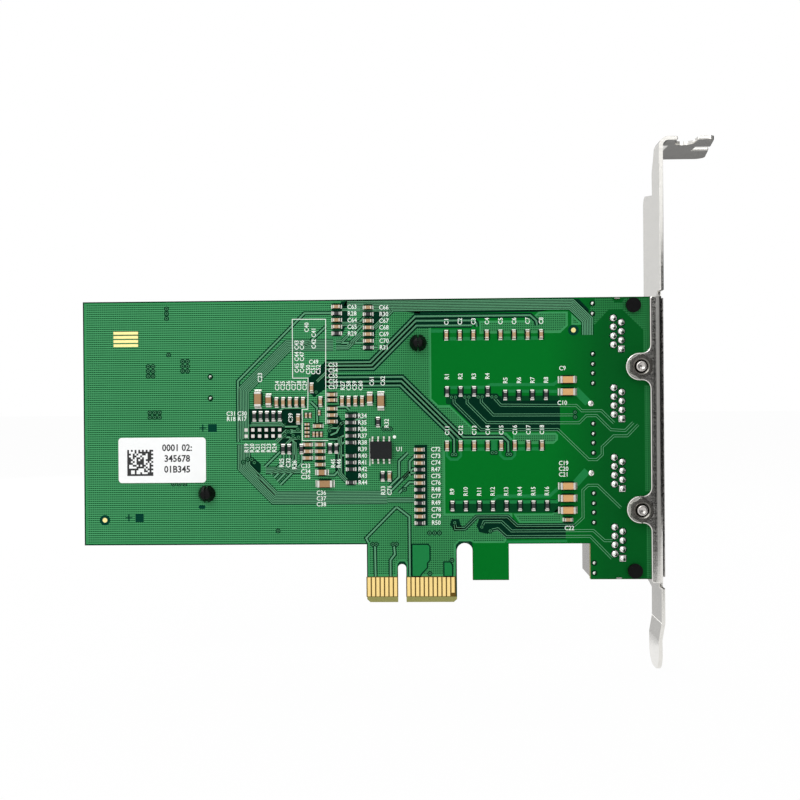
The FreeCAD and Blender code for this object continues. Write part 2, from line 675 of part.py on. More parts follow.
def bracket_tab():
    near = PLATE_NEAR_Y
    far = near + TAB_WIDTH
    root = near + NECK_ROOT_WIDTH
    end_near = BRACKET_OUTER_X + TAB_LENGTH
    end_far = end_near + TAB_SLANT
    free = TAB_BEND_X + TAB_RELIEF
    corners = [(TAB_BEND_X, near), (end_near, near, TAB_NEAR_RADIUS), (end_far, far, TAB_FAR_RADIUS),
               (free, far, TAB_NEAR_RADIUS), (free, root), (TAB_BEND_X, root)]
    tab = slab_xy(corners, BRACKET_TOP_Z - SHEET, BRACKET_TOP_Z)
    r = SCREW_NOTCH_RADIUS
    notch_x = BRACKET_OUTER_X + SCREW_NOTCH_FROM_PLATE
    floor = near + SCREW_NOTCH_DEPTH
    notch = slab_xy([(notch_x - r, near - 1), (notch_x + r, near - 1), (notch_x + r, floor, r),
                     (notch_x - r, floor, r)], BRACKET_TOP_Z - SHEET - 1, BRACKET_TOP_Z + 1)
    end_y = near + END_NOTCH_FROM_EDGE
    end_x = end_near + TAB_SLANT * END_NOTCH_FROM_EDGE / TAB_WIDTH - END_NOTCH_DEPTH
    end_notch = box(end_x, end_far + 1, end_y, end_y + END_NOTCH_WIDTH,
                    BRACKET_TOP_Z - SHEET - 1, BRACKET_TOP_Z + 1)
    bend = quarter_bend(lambda u, v: Vector(TAB_BEND_X - u, near, TAB_BEND_Z + v),
                        BEND_INNER_RADIUS, BEND_OUTER_RADIUS)
    return [cut_all(tab, [notch, end_notch]), bend.extrude(Vector(0, NECK_ROOT_WIDTH, 0))]


def bracket_flange():
    """The flange bent onto the solder side, with its two screw ears."""
    left = EAR_SCREW_X - EAR_RADIUS
    bend = quarter_bend(lambda u, v: Vector(FLANGE_BEND_X + u, FLANGE_BEND_Y - v, FLANGE_BOTTOM_Z),
                        BEND_INNER_RADIUS, BEND_OUTER_RADIUS)
    length = Vector(0, 0, FLANGE_TOP_Z - FLANGE_BOTTOM_Z)
    sheet = box(left - 1, FLANGE_BEND_X, FLANGE_FACE_Y, SOLDER_Y, FLANGE_BOTTOM_Z, FLANGE_TOP_Z)
    folded = sheet.fuse(bend.extrude(length))
    corners = [(FLANGE_FREE_X, FLANGE_TOP_Z, FLANGE_END_RADIUS)]
    for z in EAR_SCREW_Z:
        corners += [(FLANGE_FREE_X, z + EAR_RADIUS, EAR_FILLET), (left, z + EAR_RADIUS, EAR_RADIUS),
                    (left, z - EAR_RADIUS, EAR_RADIUS), (FLANGE_FREE_X, z - EAR_RADIUS, EAR_FILLET)]
    corners += [(FLANGE_FREE_X, FLANGE_BOTTOM_Z, FLANGE_END_RADIUS),
                (BRACKET_OUTER_X + 1, FLANGE_BOTTOM_Z), (BRACKET_OUTER_X + 1, FLANGE_TOP_Z)]
    flange = folded.common(slab_xz(corners, FLANGE_FACE_Y - 1, FLANGE_BEND_Y + 1))
    holes = [rod(SCREW_RADIUS + SCREW_CLEARANCE, EAR_SCREW_X, z, FLANGE_FACE_Y - 1, SOLDER_Y + 1)
             for z in EAR_SCREW_Z]
    return cut_all(flange, holes)


def bracket():
    return fuse_all([bracket_plate(), bracket_tongue(), bracket_flange()] + bracket_tab())


def bracket_screw(z):
    """A pan-head screw whose head lies on the component side, under the jack."""
    end = FLANGE_FACE_Y - NUT_HEIGHT - SCREW_SHOW
    return turned(EAR_SCREW_X, z, [(SCREW_RADIUS, end), (SCREW_RADIUS, PARTS_Y), (SCREW_HEAD_RADIUS, PARTS_Y),
                                   (SCREW_HEAD_RADIUS, PARTS_Y + SCREW_HEAD_HEIGHT)])


def bracket_nut(z):
    """A hexagon nut on its ear, one corner up."""
    y0 = FLANGE_FACE_Y - NUT_HEIGHT
    corner_radius = NUT_ACROSS_FLATS / 2 / math.cos(math.pi / 6)
    hexagon = stack([round_ring(EAR_SCREW_X, z, y, corner_radius, 6) for y in (y0, FLANGE_FACE_Y)])
    hole = SCREW_RADIUS + THREAD_FIT
    return hexagon.cut(turned(EAR_SCREW_X, z, [(hole, y0 - 1), (hole, FLANGE_FACE_Y + 1)]))


# Jack

def wire_offset(i):
    """Height of contact wire i from the middle of its port."""
    return ((WIRES_PER_PORT - 1) / 2 - i) * WIRE_PITCH


def light_lead_offsets():
    """Heights of the four light leads of a port from its middle."""
    return [side * LIGHT_OFFSET + half * LEAD_SPREAD / 2 for side in (1, -1) for half in (1, -1)]


def port_cavity(port_z):
    """The hollow that a plug goes into, with the stepped notch for its latch."""
    half = CAVITY_WIDTH / 2
    top = CAVITY_FLOOR_Y + CAVITY_HEIGHT
    step = top + LATCH_HEIGHT
    end = step + LATCH_TIP_HEIGHT
    main = box(HOUSING_FRONT_X - CAVITY_DEPTH, HOUSING_FRONT_X + 1, CAVITY_FLOOR_Y, top,
               port_z - half, port_z + half)
    latch = box(HOUSING_FRONT_X - LATCH_DEPTH, HOUSING_FRONT_X + 1, top - 1, step,
                port_z - LATCH_WIDTH / 2, port_z + LATCH_WIDTH / 2)
    latch_tip = box(HOUSING_FRONT_X - LATCH_DEPTH, HOUSING_FRONT_X + 1, step - 1, end,
                    port_z - LATCH_TIP_WIDTH / 2, port_z + LATCH_TIP_WIDTH / 2)
    return [main, latch, latch_tip]


def wire_pit(port_z):
    """The slot in the floor of a port that its contact tails rise through."""
    reach = wire_offset(0) + WIRE_WIDTH / 2 + PIT_MARGIN
    return box(TAIL_ROW_X[0] - WIRE_THICKNESS / 2 - PIT_MARGIN, TAIL_ROW_X[1] + WIRE_THICKNESS / 2 + PIT_MARGIN,
               JACK_BOTTOM_Y - 1, CAVITY_FLOOR_Y + 1, port_z - reach, port_z + reach)


def light_pockets(port_z):
    """The pockets for a port's two lights, and the grooves for their leads."""
    tools = []
    half = LIGHT_WIDTH / 2 + LIGHT_FIT
    for side in (1, -1):
        z = port_z + side * LIGHT_OFFSET
        tools.append(box(LIGHT_REAR_X - LIGHT_FIT, HOUSING_FRONT_X + 1, LIGHT_TOP_Y - LIGHT_HEIGHT - LIGHT_FIT,
                         LIGHT_TOP_Y + LIGHT_FIT, z - half, z + half))
    groove = LEAD_SIZE / 2 + LEAD_FIT
    for offset in light_lead_offsets():
        z = port_z + offset
        tools.append(box(HOUSING_REAR_X - 1, LIGHT_REAR_X, LEAD_TOP_Y - LEAD_SIZE - LEAD_FIT,
                         HOUSING_TOP_Y + 1, z - groove, z + groove))
    return tools


def jack_housing():
    inset = SHIELD_SHEET + SHIELD_FIT
    body = box(HOUSING_REAR_X, HOUSING_FRONT_X, JACK_BOTTOM_Y, HOUSING_TOP_Y,
               JACK_LOW_Z + inset, JACK_HIGH_Z - inset)
    tools = []
    for port_z in PORT_Z:
        tools += port_cavity(port_z) + light_pockets(port_z) + [wire_pit(port_z)]
    reach = SCREW_HEAD_RADIUS + SCREW_HEAD_FIT
    for z in EAR_SCREW_Z:
        tools.append(box(EAR_SCREW_X - reach, EAR_SCREW_X + reach, JACK_BOTTOM_Y - 1,
                         PARTS_Y + SCREW_HEAD_HEIGHT + SCREW_HEAD_FIT / 2, z - reach, z + reach))
    housing = cut_all(body, tools)
    pegs = [rod(PEG_RADIUS, PEG_X, z, SOLDER_Y - PEG_SHOW, JACK_BOTTOM_Y) for z in PEG_Z]
    return fuse_all([housing] + pegs)


def jack_shield():
    """A folded can, open to the board, with a window for each port."""
    t = SHIELD_SHEET
    profile = [(JACK_REAR_X, JACK_BOTTOM_Y), (JACK_REAR_X, JACK_TOP_Y, SHIELD_CORNER),
               (JACK_FRONT_X, JACK_TOP_Y, SHIELD_CORNER), (JACK_FRONT_X, JACK_BOTTOM_Y)]
    outside = slab_xy(profile, JACK_LOW_Z, JACK_HIGH_Z)
    inside = box(JACK_REAR_X + t, JACK_FRONT_X - t, JACK_BOTTOM_Y - 1, JACK_TOP_Y - t,
                 JACK_LOW_Z + t, JACK_HIGH_Z - t)
    half = SHIELD_WINDOW_WIDTH / 2
    windows = [box(JACK_FRONT_X - 2 * t, JACK_FRONT_X + 1, SHIELD_WINDOW_BOTTOM_Y, SHIELD_WINDOW_TOP_Y,
                   z - half, z + half) for z in PORT_Z]
    return fuse_all([cut_all(outside, [inside] + windows)] + shield_leg_boxes(0))


def jack_contacts():
    """Bent wires: up from the board, forward along the floor and back up into the port."""
    wires = []
    floor = CAVITY_FLOOR_Y + WIRE_LIFT + WIRE_THICKNESS / 2
    half = WIRE_WIDTH / 2
    for port_z in PORT_Z:
        for i in range(WIRES_PER_PORT):
            tail_x = TAIL_ROW_X[i % 2]
            path = [(tail_x, SOLDER_Y), (tail_x, floor), (WIRE_FRONT_X, floor),
                    (WIRE_FREE_X, floor + WIRE_RISE)]
            z = port_z + wire_offset(i)
            wires.append(slab_xy(band(path, WIRE_THICKNESS), z - half, z + half))
    return wires


def jack_lights(side):
    """The light blocks on one side of every port."""
    half = LIGHT_WIDTH / 2
    lights = []
    for port_z in PORT_Z:
        z = port_z + side * LIGHT_OFFSET
        lights.append(box(LIGHT_REAR_X, HOUSING_FRONT_X, LIGHT_TOP_Y - LIGHT_HEIGHT, LIGHT_TOP_Y,
                          z - half, z + half))
    return lights


def light_leads():
    """Leads from each light over the housing and down its rear into the board."""
    half = LEAD_SIZE / 2
    path = [(LEAD_X, SOLDER_Y), (LEAD_X, LEAD_TOP_Y - half), (LIGHT_REAR_X, LEAD_TOP_Y - half)]
    leads = []
    for port_z in PORT_Z:
        for offset in light_lead_offsets():
            z = port_z + offset
            leads.append(slab_xy(band(path, LEAD_SIZE), z - half, z + half))
    return leads


def solder_joints():
    """A cone of solder over the end of every pin on the solder side."""
    joints = []
    for x, z, _, _ in pin_places():
        joints.append(stack([round_ring(x, z, SOLDER_Y, JOINT_BASE_RADIUS, JOINT_SIDES),
                             round_ring(x, z, SOLDER_Y - JOINT_HEIGHT, JOINT_TOP_RADIUS, JOINT_SIDES)]))
    return joints


# Controller and heat sink

def controller_chip():
    """A square substrate with a moulded cap whose edges slope."""
    base_top = PARTS_Y + CHIP_BASE_HEIGHT
    half = CHIP_SIZE / 2
    cap = CHIP_CAP_SIZE / 2
    narrow = cap - CHIP_CAP_CHAMFER
    base = box(CHIP_X - half, CHIP_X + half, PARTS_Y, base_top, CHIP_Z - half, CHIP_Z + half)
    return base.fuse(stack([square_ring(CHIP_X, CHIP_Z, base_top, cap, cap),
                            square_ring(CHIP_X, CHIP_Z, base_top + CHIP_CAP_HEIGHT, narrow, narrow)]))


def thermal_pad():
    half = THERMAL_PAD_SIZE / 2
    y1 = SINK_BOTTOM_Y
    return box(CHIP_X - half, CHIP_X + half, y1 - THERMAL_PAD_THICKNESS, y1, CHIP_Z - half, CHIP_Z + half)


def heat_sink():
    """A finned block with one cross cut and an ear at each push pin."""
    half = SINK_SIZE / 2
    base_top = SINK_BOTTOM_Y + SINK_BASE
    fin_top = base_top + SINK_FIN_HEIGHT
    gap = (SINK_SIZE - SINK_FINS * SINK_FIN_THICKNESS) / (SINK_FINS - 1)
    block = box(CHIP_X - half, CHIP_X + half, SINK_BOTTOM_Y, fin_top, CHIP_Z - half, CHIP_Z + half)
    cuts = []
    for i in range(SINK_FINS - 1):
        z = CHIP_Z - half + SINK_FIN_THICKNESS + i * (gap + SINK_FIN_THICKNESS)
        cuts.append(box(CHIP_X - half - 1, CHIP_X + half + 1, base_top, fin_top + 1, z, z + gap))
    cuts.append(box(CHIP_X - SINK_CROSS_CUT / 2, CHIP_X + SINK_CROSS_CUT / 2, base_top, fin_top + 1,
                    CHIP_Z - half - 1, CHIP_Z + half + 1))
    ears = []
    holes = []
    for x, z in PUSH_PINS:
        inward = CHIP_X + (half - 2 if x > CHIP_X else 2 - half)
        outward = x + math.copysign(SINK_EAR_WIDTH / 2, x - CHIP_X)
        r = SINK_EAR_WIDTH / 2
        corners = [(inward, z - r), (outward, z - r, r), (outward, z + r, r), (inward, z + r)]
        ears.append(slab_xz(corners, SINK_BOTTOM_Y, SINK_EAR_TOP_Y))
        holes.append(rod(PUSH_PIN_RADIUS + PUSH_PIN_FIT, x, z, SINK_BOTTOM_Y - 1, SINK_EAR_TOP_Y + 1))
    return fuse_all([cut_all(block, cuts)] + ears).cut(Part.makeCompound(holes))


def push_pin(x, z):
    """A turned plastic pin with a head, a shaft and a split barbed tip."""
    tip = SOLDER_Y - PUSH_PIN_SHOW
    barb = SOLDER_Y - PUSH_PIN_BARB_STEP
    head = SINK_EAR_TOP_Y + SPRING_LENGTH
    pin = turned(x, z, [(PUSH_PIN_TIP_RADIUS, tip), (PUSH_PIN_BARB_RADIUS, barb - PUSH_PIN_BARB_STEP),
                        (PUSH_PIN_BARB_RADIUS, barb), (PUSH_PIN_RADIUS, barb), (PUSH_PIN_RADIUS, head),
                        (PUSH_PIN_HEAD_RADIUS, head), (PUSH_PIN_HEAD_RADIUS, head + PUSH_PIN_HEAD_HEIGHT)])
    half = PUSH_PIN_SPLIT / 2
    split = box(x - half, x + half, tip - 1, tip + PUSH_PIN_SPLIT_DEPTH, z - 5, z + 5)
    return pin.cut(split)


def spring(x, z):
    """A coil between the heat sink's ear and the head of a push pin."""
    wire = SPRING_WIRE / 2
    steps = int(SPRING_TURNS * SPRING_STEPS_PER_TURN)
    climb = SPRING_LENGTH - SPRING_WIRE
    rings = []
    for k in range(steps + 1):
        angle = 2 * math.pi * k / SPRING_STEPS_PER_TURN
        y = SINK_EAR_TOP_Y + wire + climb * k / steps
        ring = []
        for j in range(SPRING_WIRE_SIDES):
            turn = 2 * math.pi * j / SPRING_WIRE_SIDES
            radius = SPRING_RADIUS + wire * math.cos(turn)
            ring.append(Vector(x + radius * math.cos(angle), y + wire * math.sin(turn), z + radius * math.sin(angle)))
        rings.append(Part.makePolygon(ring + ring[:1]))
    return Part.makeLoft(rings, True, True)


# Leaded parts

def gull_lead(side, centre_z, body_half, span, face_y, top_y, x, width):
    """A lead from a body's side down to a foot on the board; side is the way it points."""
    out = 1 if face_y > 0 else -1
    foot = face_y + out * LEAD_THICKNESS / 2
    z0 = centre_z + side * body_half
    path = [(z0, top_y), (z0 + side * LEAD_SHOULDER, top_y), (z0 + side * 2 * LEAD_SHOULDER, foot),
            (centre_z + side * span / 2, foot)]
    outline = band(path, LEAD_THICKNESS)
    face = outline_face(outline, lambda p: Vector(x - width / 2, p.y, p.x))
    return face.extrude(Vector(width, 0, 0))


def transformer_body(z):
    """A moulded body on its leads, whose sides draw in towards its top and bottom."""
    half_x = TRANSFORMER_LENGTH / 2
    half_z = TRANSFORMER_BODY / 2
    y0 = PARTS_Y + TRANSFORMER_LEAD_THICKNESS
    rings = []
    for y, inset in ((y0, TRANSFORMER_DRAFT), (y0 + TRANSFORMER_HEIGHT / 3, 0),
                     (y0 + TRANSFORMER_HEIGHT, TRANSFORMER_DRAFT)):
        rings.append(square_ring(TRANSFORMER_X, z, y, half_x - inset, half_z - inset))
    return stack(rings)


def transformer_leads():
    """Flat leads that lie on the board and reach under each body's long sides."""
    leads = []
    half = TRANSFORMER_LEAD_WIDTH / 2
    for z in TRANSFORMER_Z:
        for side in (-1, 1):
            ends = (z + side * (TRANSFORMER_BODY / 2 - TRANSFORMER_LEAD_UNDER),
                    z + side * TRANSFORMER_LEAD_SPAN / 2)
            for i in range(TRANSFORMER_LEADS):
                x = TRANSFORMER_X + (i - (TRANSFORMER_LEADS - 1) / 2) * TRANSFORMER_LEAD_PITCH
                leads.append(box(x - half, x + half, PARTS_Y, PARTS_Y + TRANSFORMER_LEAD_THICKNESS,
                                 min(ends), max(ends)))
    return leads


def memory_chip():
    half_x = MEMORY_LENGTH / 2
    half_z = MEMORY_BODY / 2
    y0 = SOLDER_Y - MEMORY_LIFT
    return box(MEMORY_X - half_x, MEMORY_X + half_x, y0 - MEMORY_HEIGHT, y0, MEMORY_Z - half_z, MEMORY_Z + half_z)


def memory_leads():
    leads = []
    top = SOLDER_Y - MEMORY_LIFT - MEMORY_HEIGHT / 2
    for side in (-1, 1):
        for i in range(MEMORY_LEADS):
            x = MEMORY_X + (i - (MEMORY_LEADS - 1) / 2) * MEMORY_LEAD_PITCH
            leads.append(gull_lead(side, MEMORY_Z, MEMORY_BODY / 2, MEMORY_LEAD_SPAN, SOLDER_Y, top, x,
                                   MEMORY_LEAD_WIDTH))
    return leads


def stadium(x, z, length, width, y0, y1):
    """A slab with two round ends, long in Z."""
    r = width / 2
    corners = [(x - r, z - length / 2, r), (x + r, z - length / 2, r), (x + r, z + length / 2, r),
               (x - r, z + length / 2, r)]
    return slab_xz(corners, y0, y1)


def crystal():
    """A drawn can on its rim, with two pins through the board."""
    rim_top = PARTS_Y + CRYSTAL_RIM_HEIGHT
    rim = stadium(CRYSTAL_X, CRYSTAL_Z, CRYSTAL_LENGTH, CRYSTAL_WIDTH, PARTS_Y, rim_top)
    can = stadium(CRYSTAL_X, CRYSTAL_Z, CRYSTAL_LENGTH - 2 * CRYSTAL_RIM, CRYSTAL_WIDTH - 2 * CRYSTAL_RIM,
                  rim_top, PARTS_Y + CRYSTAL_HEIGHT)
    half = CRYSTAL_PIN_SIZE / 2
    pins = []
    for side in (-1, 1):
        z = CRYSTAL_Z + side * CRYSTAL_PIN_SPREAD / 2
        pins.append(box(CRYSTAL_X - half, CRYSTAL_X + half, SOLDER_Y, PARTS_Y, z - half, z + half))
    return fuse_all([rim, can] + pins)


def regulator_body(x, z):
    half_x = REGULATOR_LENGTH / 2
    half_z = REGULATOR_BODY / 2
    return box(x - half_x, x + half_x, PARTS_Y + LEAD_THICKNESS / 2, PARTS_Y + REGULATOR_HEIGHT,
               z - half_z, z + half_z)


def regulator_leads(x, z):
    """Three leads on one side and the wide tab on the other."""
    top = PARTS_Y + REGULATOR_HEIGHT / 2
    leads = [gull_lead(-1, z, REGULATOR_BODY / 2, REGULATOR_SPAN, PARTS_Y, top, x + i * REGULATOR_LEAD_PITCH,
                       REGULATOR_LEAD_WIDTH) for i in (-1, 0, 1)]
    leads.append(gull_lead(1, z, REGULATOR_BODY / 2, REGULATOR_SPAN, PARTS_Y, top, x, REGULATOR_TAB_WIDTH))
    return leads


def power_inductor():
    """A square core with cut corners, on two feet."""
    half = INDUCTOR_SIZE / 2
    c = INDUCTOR_CHAMFER
    y0 = PARTS_Y + INDUCTOR_FOOT
    corners = []
    for u, v in ((-1, -1), (1, -1), (1, 1), (-1, 1)):
        first = (INDUCTOR_X + u * half, INDUCTOR_Z + v * (half - c))
        second = (INDUCTOR_X + u * (half - c), INDUCTOR_Z + v * half)
        corners += [first, second] if u * v > 0 else [second, first]
    return slab_xz(corners, y0, PARTS_Y + INDUCTOR_HEIGHT)


def inductor_feet():
    half = INDUCTOR_SIZE / 2
    feet = []
    for side in (-1, 1):
        outer = INDUCTOR_X + side * half
        inner = outer - side * half / 2
        feet.append(box(min(outer, inner), max(outer, inner), PARTS_Y, PARTS_Y + INDUCTOR_FOOT,
                        INDUCTOR_Z - INDUCTOR_FOOT_WIDTH / 2, INDUCTOR_Z + INDUCTOR_FOOT_WIDTH / 2))
    return feet


# Chip parts

def chip_block(length, width, height, face_y, x, z, upright, low, high):
    """A block of a chip part between two places along its length."""
    y0, y1 = sorted((face_y, face_y + math.copysign(height, face_y)))
    half = width / 2
    if upright:
        return box(x - half, x + half, y0, y1, z + low * length / 2, z + high * length / 2)
    return box(x + low * length / 2, x + high * length / 2, y0, y1, z - half, z + half)


class ChipParts:
    """Collects the chip parts of the board, one list of solids for each node."""

    def __init__(self):
        self.small_capacitors = []
        self.small_resistors = []
        self.bodies = []
        self.end_caps = []

    def add(self, kind, face_y, x, z, upright):
        """Add one part; upright turns its length into Z."""
        if kind == "C":
            self.small_capacitors.append(chip_block(*SMALL_CAPACITOR, face_y, x, z, upright, -1, 1))
        if kind == "R":
            self.small_resistors.append(chip_block(*SMALL_RESISTOR, face_y, x, z, upright, -1, 1))
        if kind in "ML":
            length, width, height, cap = MEDIUM_CAPACITOR if kind == "M" else LARGE_CAPACITOR
            inner = 1 - 2 * cap / length
            self.bodies.append(chip_block(length, width - 2 * CAP_WRAP, height - CAP_WRAP, face_y, x, z,
                                          upright, -inner, inner))
            for low, high in ((-1, -inner), (inner, 1)):
                self.end_caps.append(chip_block(length, width, height, face_y, x, z, upright, low, high))

    def add_lines(self, lines, face_y, upright):
        """Add rows of upright parts, or columns of flat ones."""
        for kinds, distance, z, step in lines:
            x = BRACKET_OUTER_X - distance
            for i, kind in enumerate(kinds):
                if upright:
                    self.add(kind, face_y, x + i * step, z, True)
                else:
                    self.add(kind, face_y, x, z - i * step, False)


def identity_label():
    x0 = BRACKET_OUTER_X - LABEL_FROM_BRACKET
    x1 = x0 + LABEL_LENGTH
    z0 = LABEL_BOTTOM_Z
    z1 = z0 + LABEL_WIDTH
    r = LABEL_RADIUS
    return slab_xz([(x0, z0, r), (x1, z0, r), (x1, z1, r), (x0, z1, r)], SOLDER_Y - LABEL_THICKNESS, SOLDER_Y)


def build_nodes():
    regulators = [(BRACKET_OUTER_X - distance, z) for distance, z in REGULATORS_FROM_BRACKET]
    chips = ChipParts()
    chips.add_lines(ROWS_FROM_BRACKET, SOLDER_Y, True)
    chips.add_lines(COLUMNS_FROM_BRACKET, SOLDER_Y, False)
    chips.add_lines(BULK_COLUMNS_FROM_BRACKET, PARTS_Y, False)
    return {
        "circuit_board": [circuit_board()],
        "edge_contacts_solder_side": edge_contacts(SOLDER_Y - GOLD_THICKNESS, SOLDER_Y),
        "edge_contacts_component_side": edge_contacts(PARTS_Y, PARTS_Y + GOLD_THICKNESS),
        "gold_marks": gold_marks(),
        "bare_pads": bare_pads(),
        "bracket": [bracket()],
        "bracket_screws": [bracket_screw(z) for z in EAR_SCREW_Z],
        "bracket_nuts": [bracket_nut(z) for z in EAR_SCREW_Z],
        "jack_housing": [jack_housing()],
        "jack_shield": [jack_shield()],
        "jack_contacts": jack_contacts(),
        "jack_lights_green": jack_lights(1),
        "jack_lights_amber": jack_lights(-1),
        "jack_light_leads": light_leads(),
        "solder_joints": solder_joints(),
        "controller_chip": [controller_chip()],
        "thermal_pad": [thermal_pad()],
        "heat_sink": [heat_sink()],
        "push_pins": [push_pin(x, z) for x, z in PUSH_PINS],
        "push_pin_springs": [spring(x, z) for x, z in PUSH_PINS],
        "line_transformers": [transformer_body(z) for z in TRANSFORMER_Z],
        "line_transformer_leads": transformer_leads(),
        "memory_chip": [memory_chip()],
        "memory_chip_leads": memory_leads(),
        "crystal": [crystal()],
        "regulators": [regulator_body(x, z) for x, z in regulators],
        "regulator_leads": [lead for x, z in regulators for lead in regulator_leads(x, z)],
        "power_inductor": [power_inductor()],
        "power_inductor_feet": inductor_feet(),
        "small_capacitors": chips.small_capacitors,
        "small_resistors": chips.small_resistors,
        "large_capacitor_bodies": chips.bodies,
        "large_capacitor_end_caps": chips.end_caps,
        "identity_label": [identity_label()],
    }


def main():
    os.makedirs("parts", exist_ok=True)
    for name, shapes in build_nodes().items():
        shape = shapes[0] if len(shapes) == 1 else Part.makeCompound(shapes)
        if not shape.isValid():
            raise ValueError("not valid: " + name)
        shape.exportStep(os.path.join("parts", name + ".step"))
        print(name, len(shape.Solids), round(shape.Volume, 2))


main()
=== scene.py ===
import json
import math
import random

import bmesh
import bpy
from mathutils import Matrix, Vector


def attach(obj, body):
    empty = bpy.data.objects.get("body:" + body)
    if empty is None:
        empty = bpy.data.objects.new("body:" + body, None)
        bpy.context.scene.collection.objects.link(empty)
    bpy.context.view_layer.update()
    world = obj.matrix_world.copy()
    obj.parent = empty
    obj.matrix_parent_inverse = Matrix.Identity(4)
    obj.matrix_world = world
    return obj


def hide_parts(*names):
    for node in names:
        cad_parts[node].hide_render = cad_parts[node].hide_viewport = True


# The network card seen from its solder side. Lengths are in millimetres here and become metres in MM.
MM = 0.001
SEED = 11

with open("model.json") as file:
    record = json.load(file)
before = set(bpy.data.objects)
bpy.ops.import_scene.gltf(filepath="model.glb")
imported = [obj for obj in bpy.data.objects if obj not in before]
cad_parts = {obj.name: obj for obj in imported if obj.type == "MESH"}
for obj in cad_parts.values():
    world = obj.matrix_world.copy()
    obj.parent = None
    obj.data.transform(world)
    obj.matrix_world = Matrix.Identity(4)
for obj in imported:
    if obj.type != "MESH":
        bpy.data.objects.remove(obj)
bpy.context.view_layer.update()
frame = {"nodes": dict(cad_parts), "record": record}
nodes = frame["nodes"]
rng = random.Random(SEED)

# Camera
CAMERA_X = 6.415
CAMERA_DISTANCE = 245.0
CAMERA_Z = 46.35
CAMERA_YAW = -1.545
CAMERA_PITCH = -0.117
CAMERA_ROLL = -0.446
CAMERA_LENS = 48.56

# Faces of the board, and how far each thin layer stands out from them
SOLDER_Y = -0.785
LIFT_ISOLATION = 0.004
LIFT_POUR = 0.010
LIFT_BORDER = 0.014
LIFT_GAP = 0.018
LIFT_STRAP = 0.024
LIFT_TRACE = 0.026
LIFT_PAD_GAP = 0.030
LIFT_PAD = 0.040
LIFT_HOLE = 0.044
LIFT_PRINT = 0.048

# Copper and printing
HATCH_PITCH = 0.49
BORDER_WIDTH = 0.4
PAIR_GAP = 0.2
PAIR_TRACE = 0.15
PAIR_CLEARANCE = 1.1
SINGLE_GAP = 0.48
SINGLE_TRACE = 0.12
SINGLE_CLEARANCE = 1.05
OUTLINED_TRACE = 0.38
OUTLINED_CLEARANCE = 0.9
BUNDLE_PITCH = 0.36
BUNDLE_TRACE = 0.2
PLATE_BORDER = 0.6
VIA_GAP = 0.56
VIA_RADIUS = 0.34
VIA_HOLE = 0.2
PAD_MARGIN = 0.32
PRINT_HEIGHT = 0.98
PRINT_WEIGHT = 0.014
# Width of the letters against the font's own, and the height of a capital as a share of the font's size
LETTER_WIDTH = 0.92
LETTER_SHARE = 0.7


def place_camera():
    data = bpy.data.cameras.new("photo_camera")
    data.lens = CAMERA_LENS
    data.sensor_width = 36.0
    data.clip_start = 0.01
    data.clip_end = 50.0
    camera = new_object("photo_camera", data)
    camera.matrix_world = (
        Matrix.Translation(Vector((CAMERA_X, -CAMERA_DISTANCE, CAMERA_Z)) * MM)
        @ Matrix.Rotation(-math.radians(CAMERA_YAW), 4, "Z")
        @ Matrix.Rotation(math.pi / 2 + math.radians(CAMERA_PITCH), 4, "X")
        @ Matrix.Rotation(math.radians(CAMERA_ROLL), 4, "Z")
    )
    bpy.context.scene.camera = camera


# Node trees

class Tree:
    """Short calls for building a node tree."""

    def __init__(self, owner):
        owner.use_nodes = True
        self.nodes = owner.node_tree.nodes
        self.links = owner.node_tree.links
        self.nodes.clear()

    def add(self, kind, settings=(), **inputs):
        node = self.nodes.new(kind)
        for key, value in dict(settings).items():
            setattr(node, key, value)
        for key, value in inputs.items():
            self.put(node.inputs[key.replace("_", " ")], value)
        return node

    def put(self, socket, value):
        if isinstance(value, bpy.types.NodeSocket):
            self.links.new(value, socket)
        else:
            socket.default_value = value

    def math(self, operation, first, second=0.0):
        node = self.add("ShaderNodeMath", {"operation": operation})
        self.put(node.inputs[0], first)
        self.put(node.inputs[1], second)
        return node.outputs[0]

    def mix(self, factor, first, second):
        node = self.add("ShaderNodeMix", {"data_type": "RGBA"})
        self.put(node.inputs[0], factor)
        self.put(node.inputs[6], first)
        self.put(node.inputs[7], second)
        return node.outputs[2]

    def spread(self, value, low, high, from_low=0.0, from_high=1.0):
        node = self.add("ShaderNodeMapRange")
        for socket, item in zip(node.inputs, (value, from_low, from_high, low, high)):
            self.put(socket, item)
        return node.outputs[0]

    def noise(self, where, scale, detail=3.0, rough=0.5):
        node = self.add("ShaderNodeTexNoise", Scale=scale, Detail=detail, Roughness=rough)
        self.put(node.inputs["Vector"], where)
        return node.outputs["Fac"]

    def along(self, vector, axis):
        """One coordinate of a vector."""
        return self.add("ShaderNodeSeparateXYZ", Vector=vector).outputs[axis]

    def output(self, kind, shader):
        self.links.new(shader.outputs[0], self.add(kind).inputs[0])


def shade(color, factor):
    return tuple(min(1.0, c * factor) for c in color[:3]) + (1.0,)


def srgb(red, green, blue):
    """A colour written in 0-255 screen values, as the linear colour that a shader takes."""
    line = []
    for value in (red, green, blue):
        v = value / 255
        line.append(v / 12.92 if v <= 0.04045 else ((v + 0.055) / 1.055) ** 2.4)
    return tuple(line) + (1.0,)


BUMP_DEPTH = 0.00002


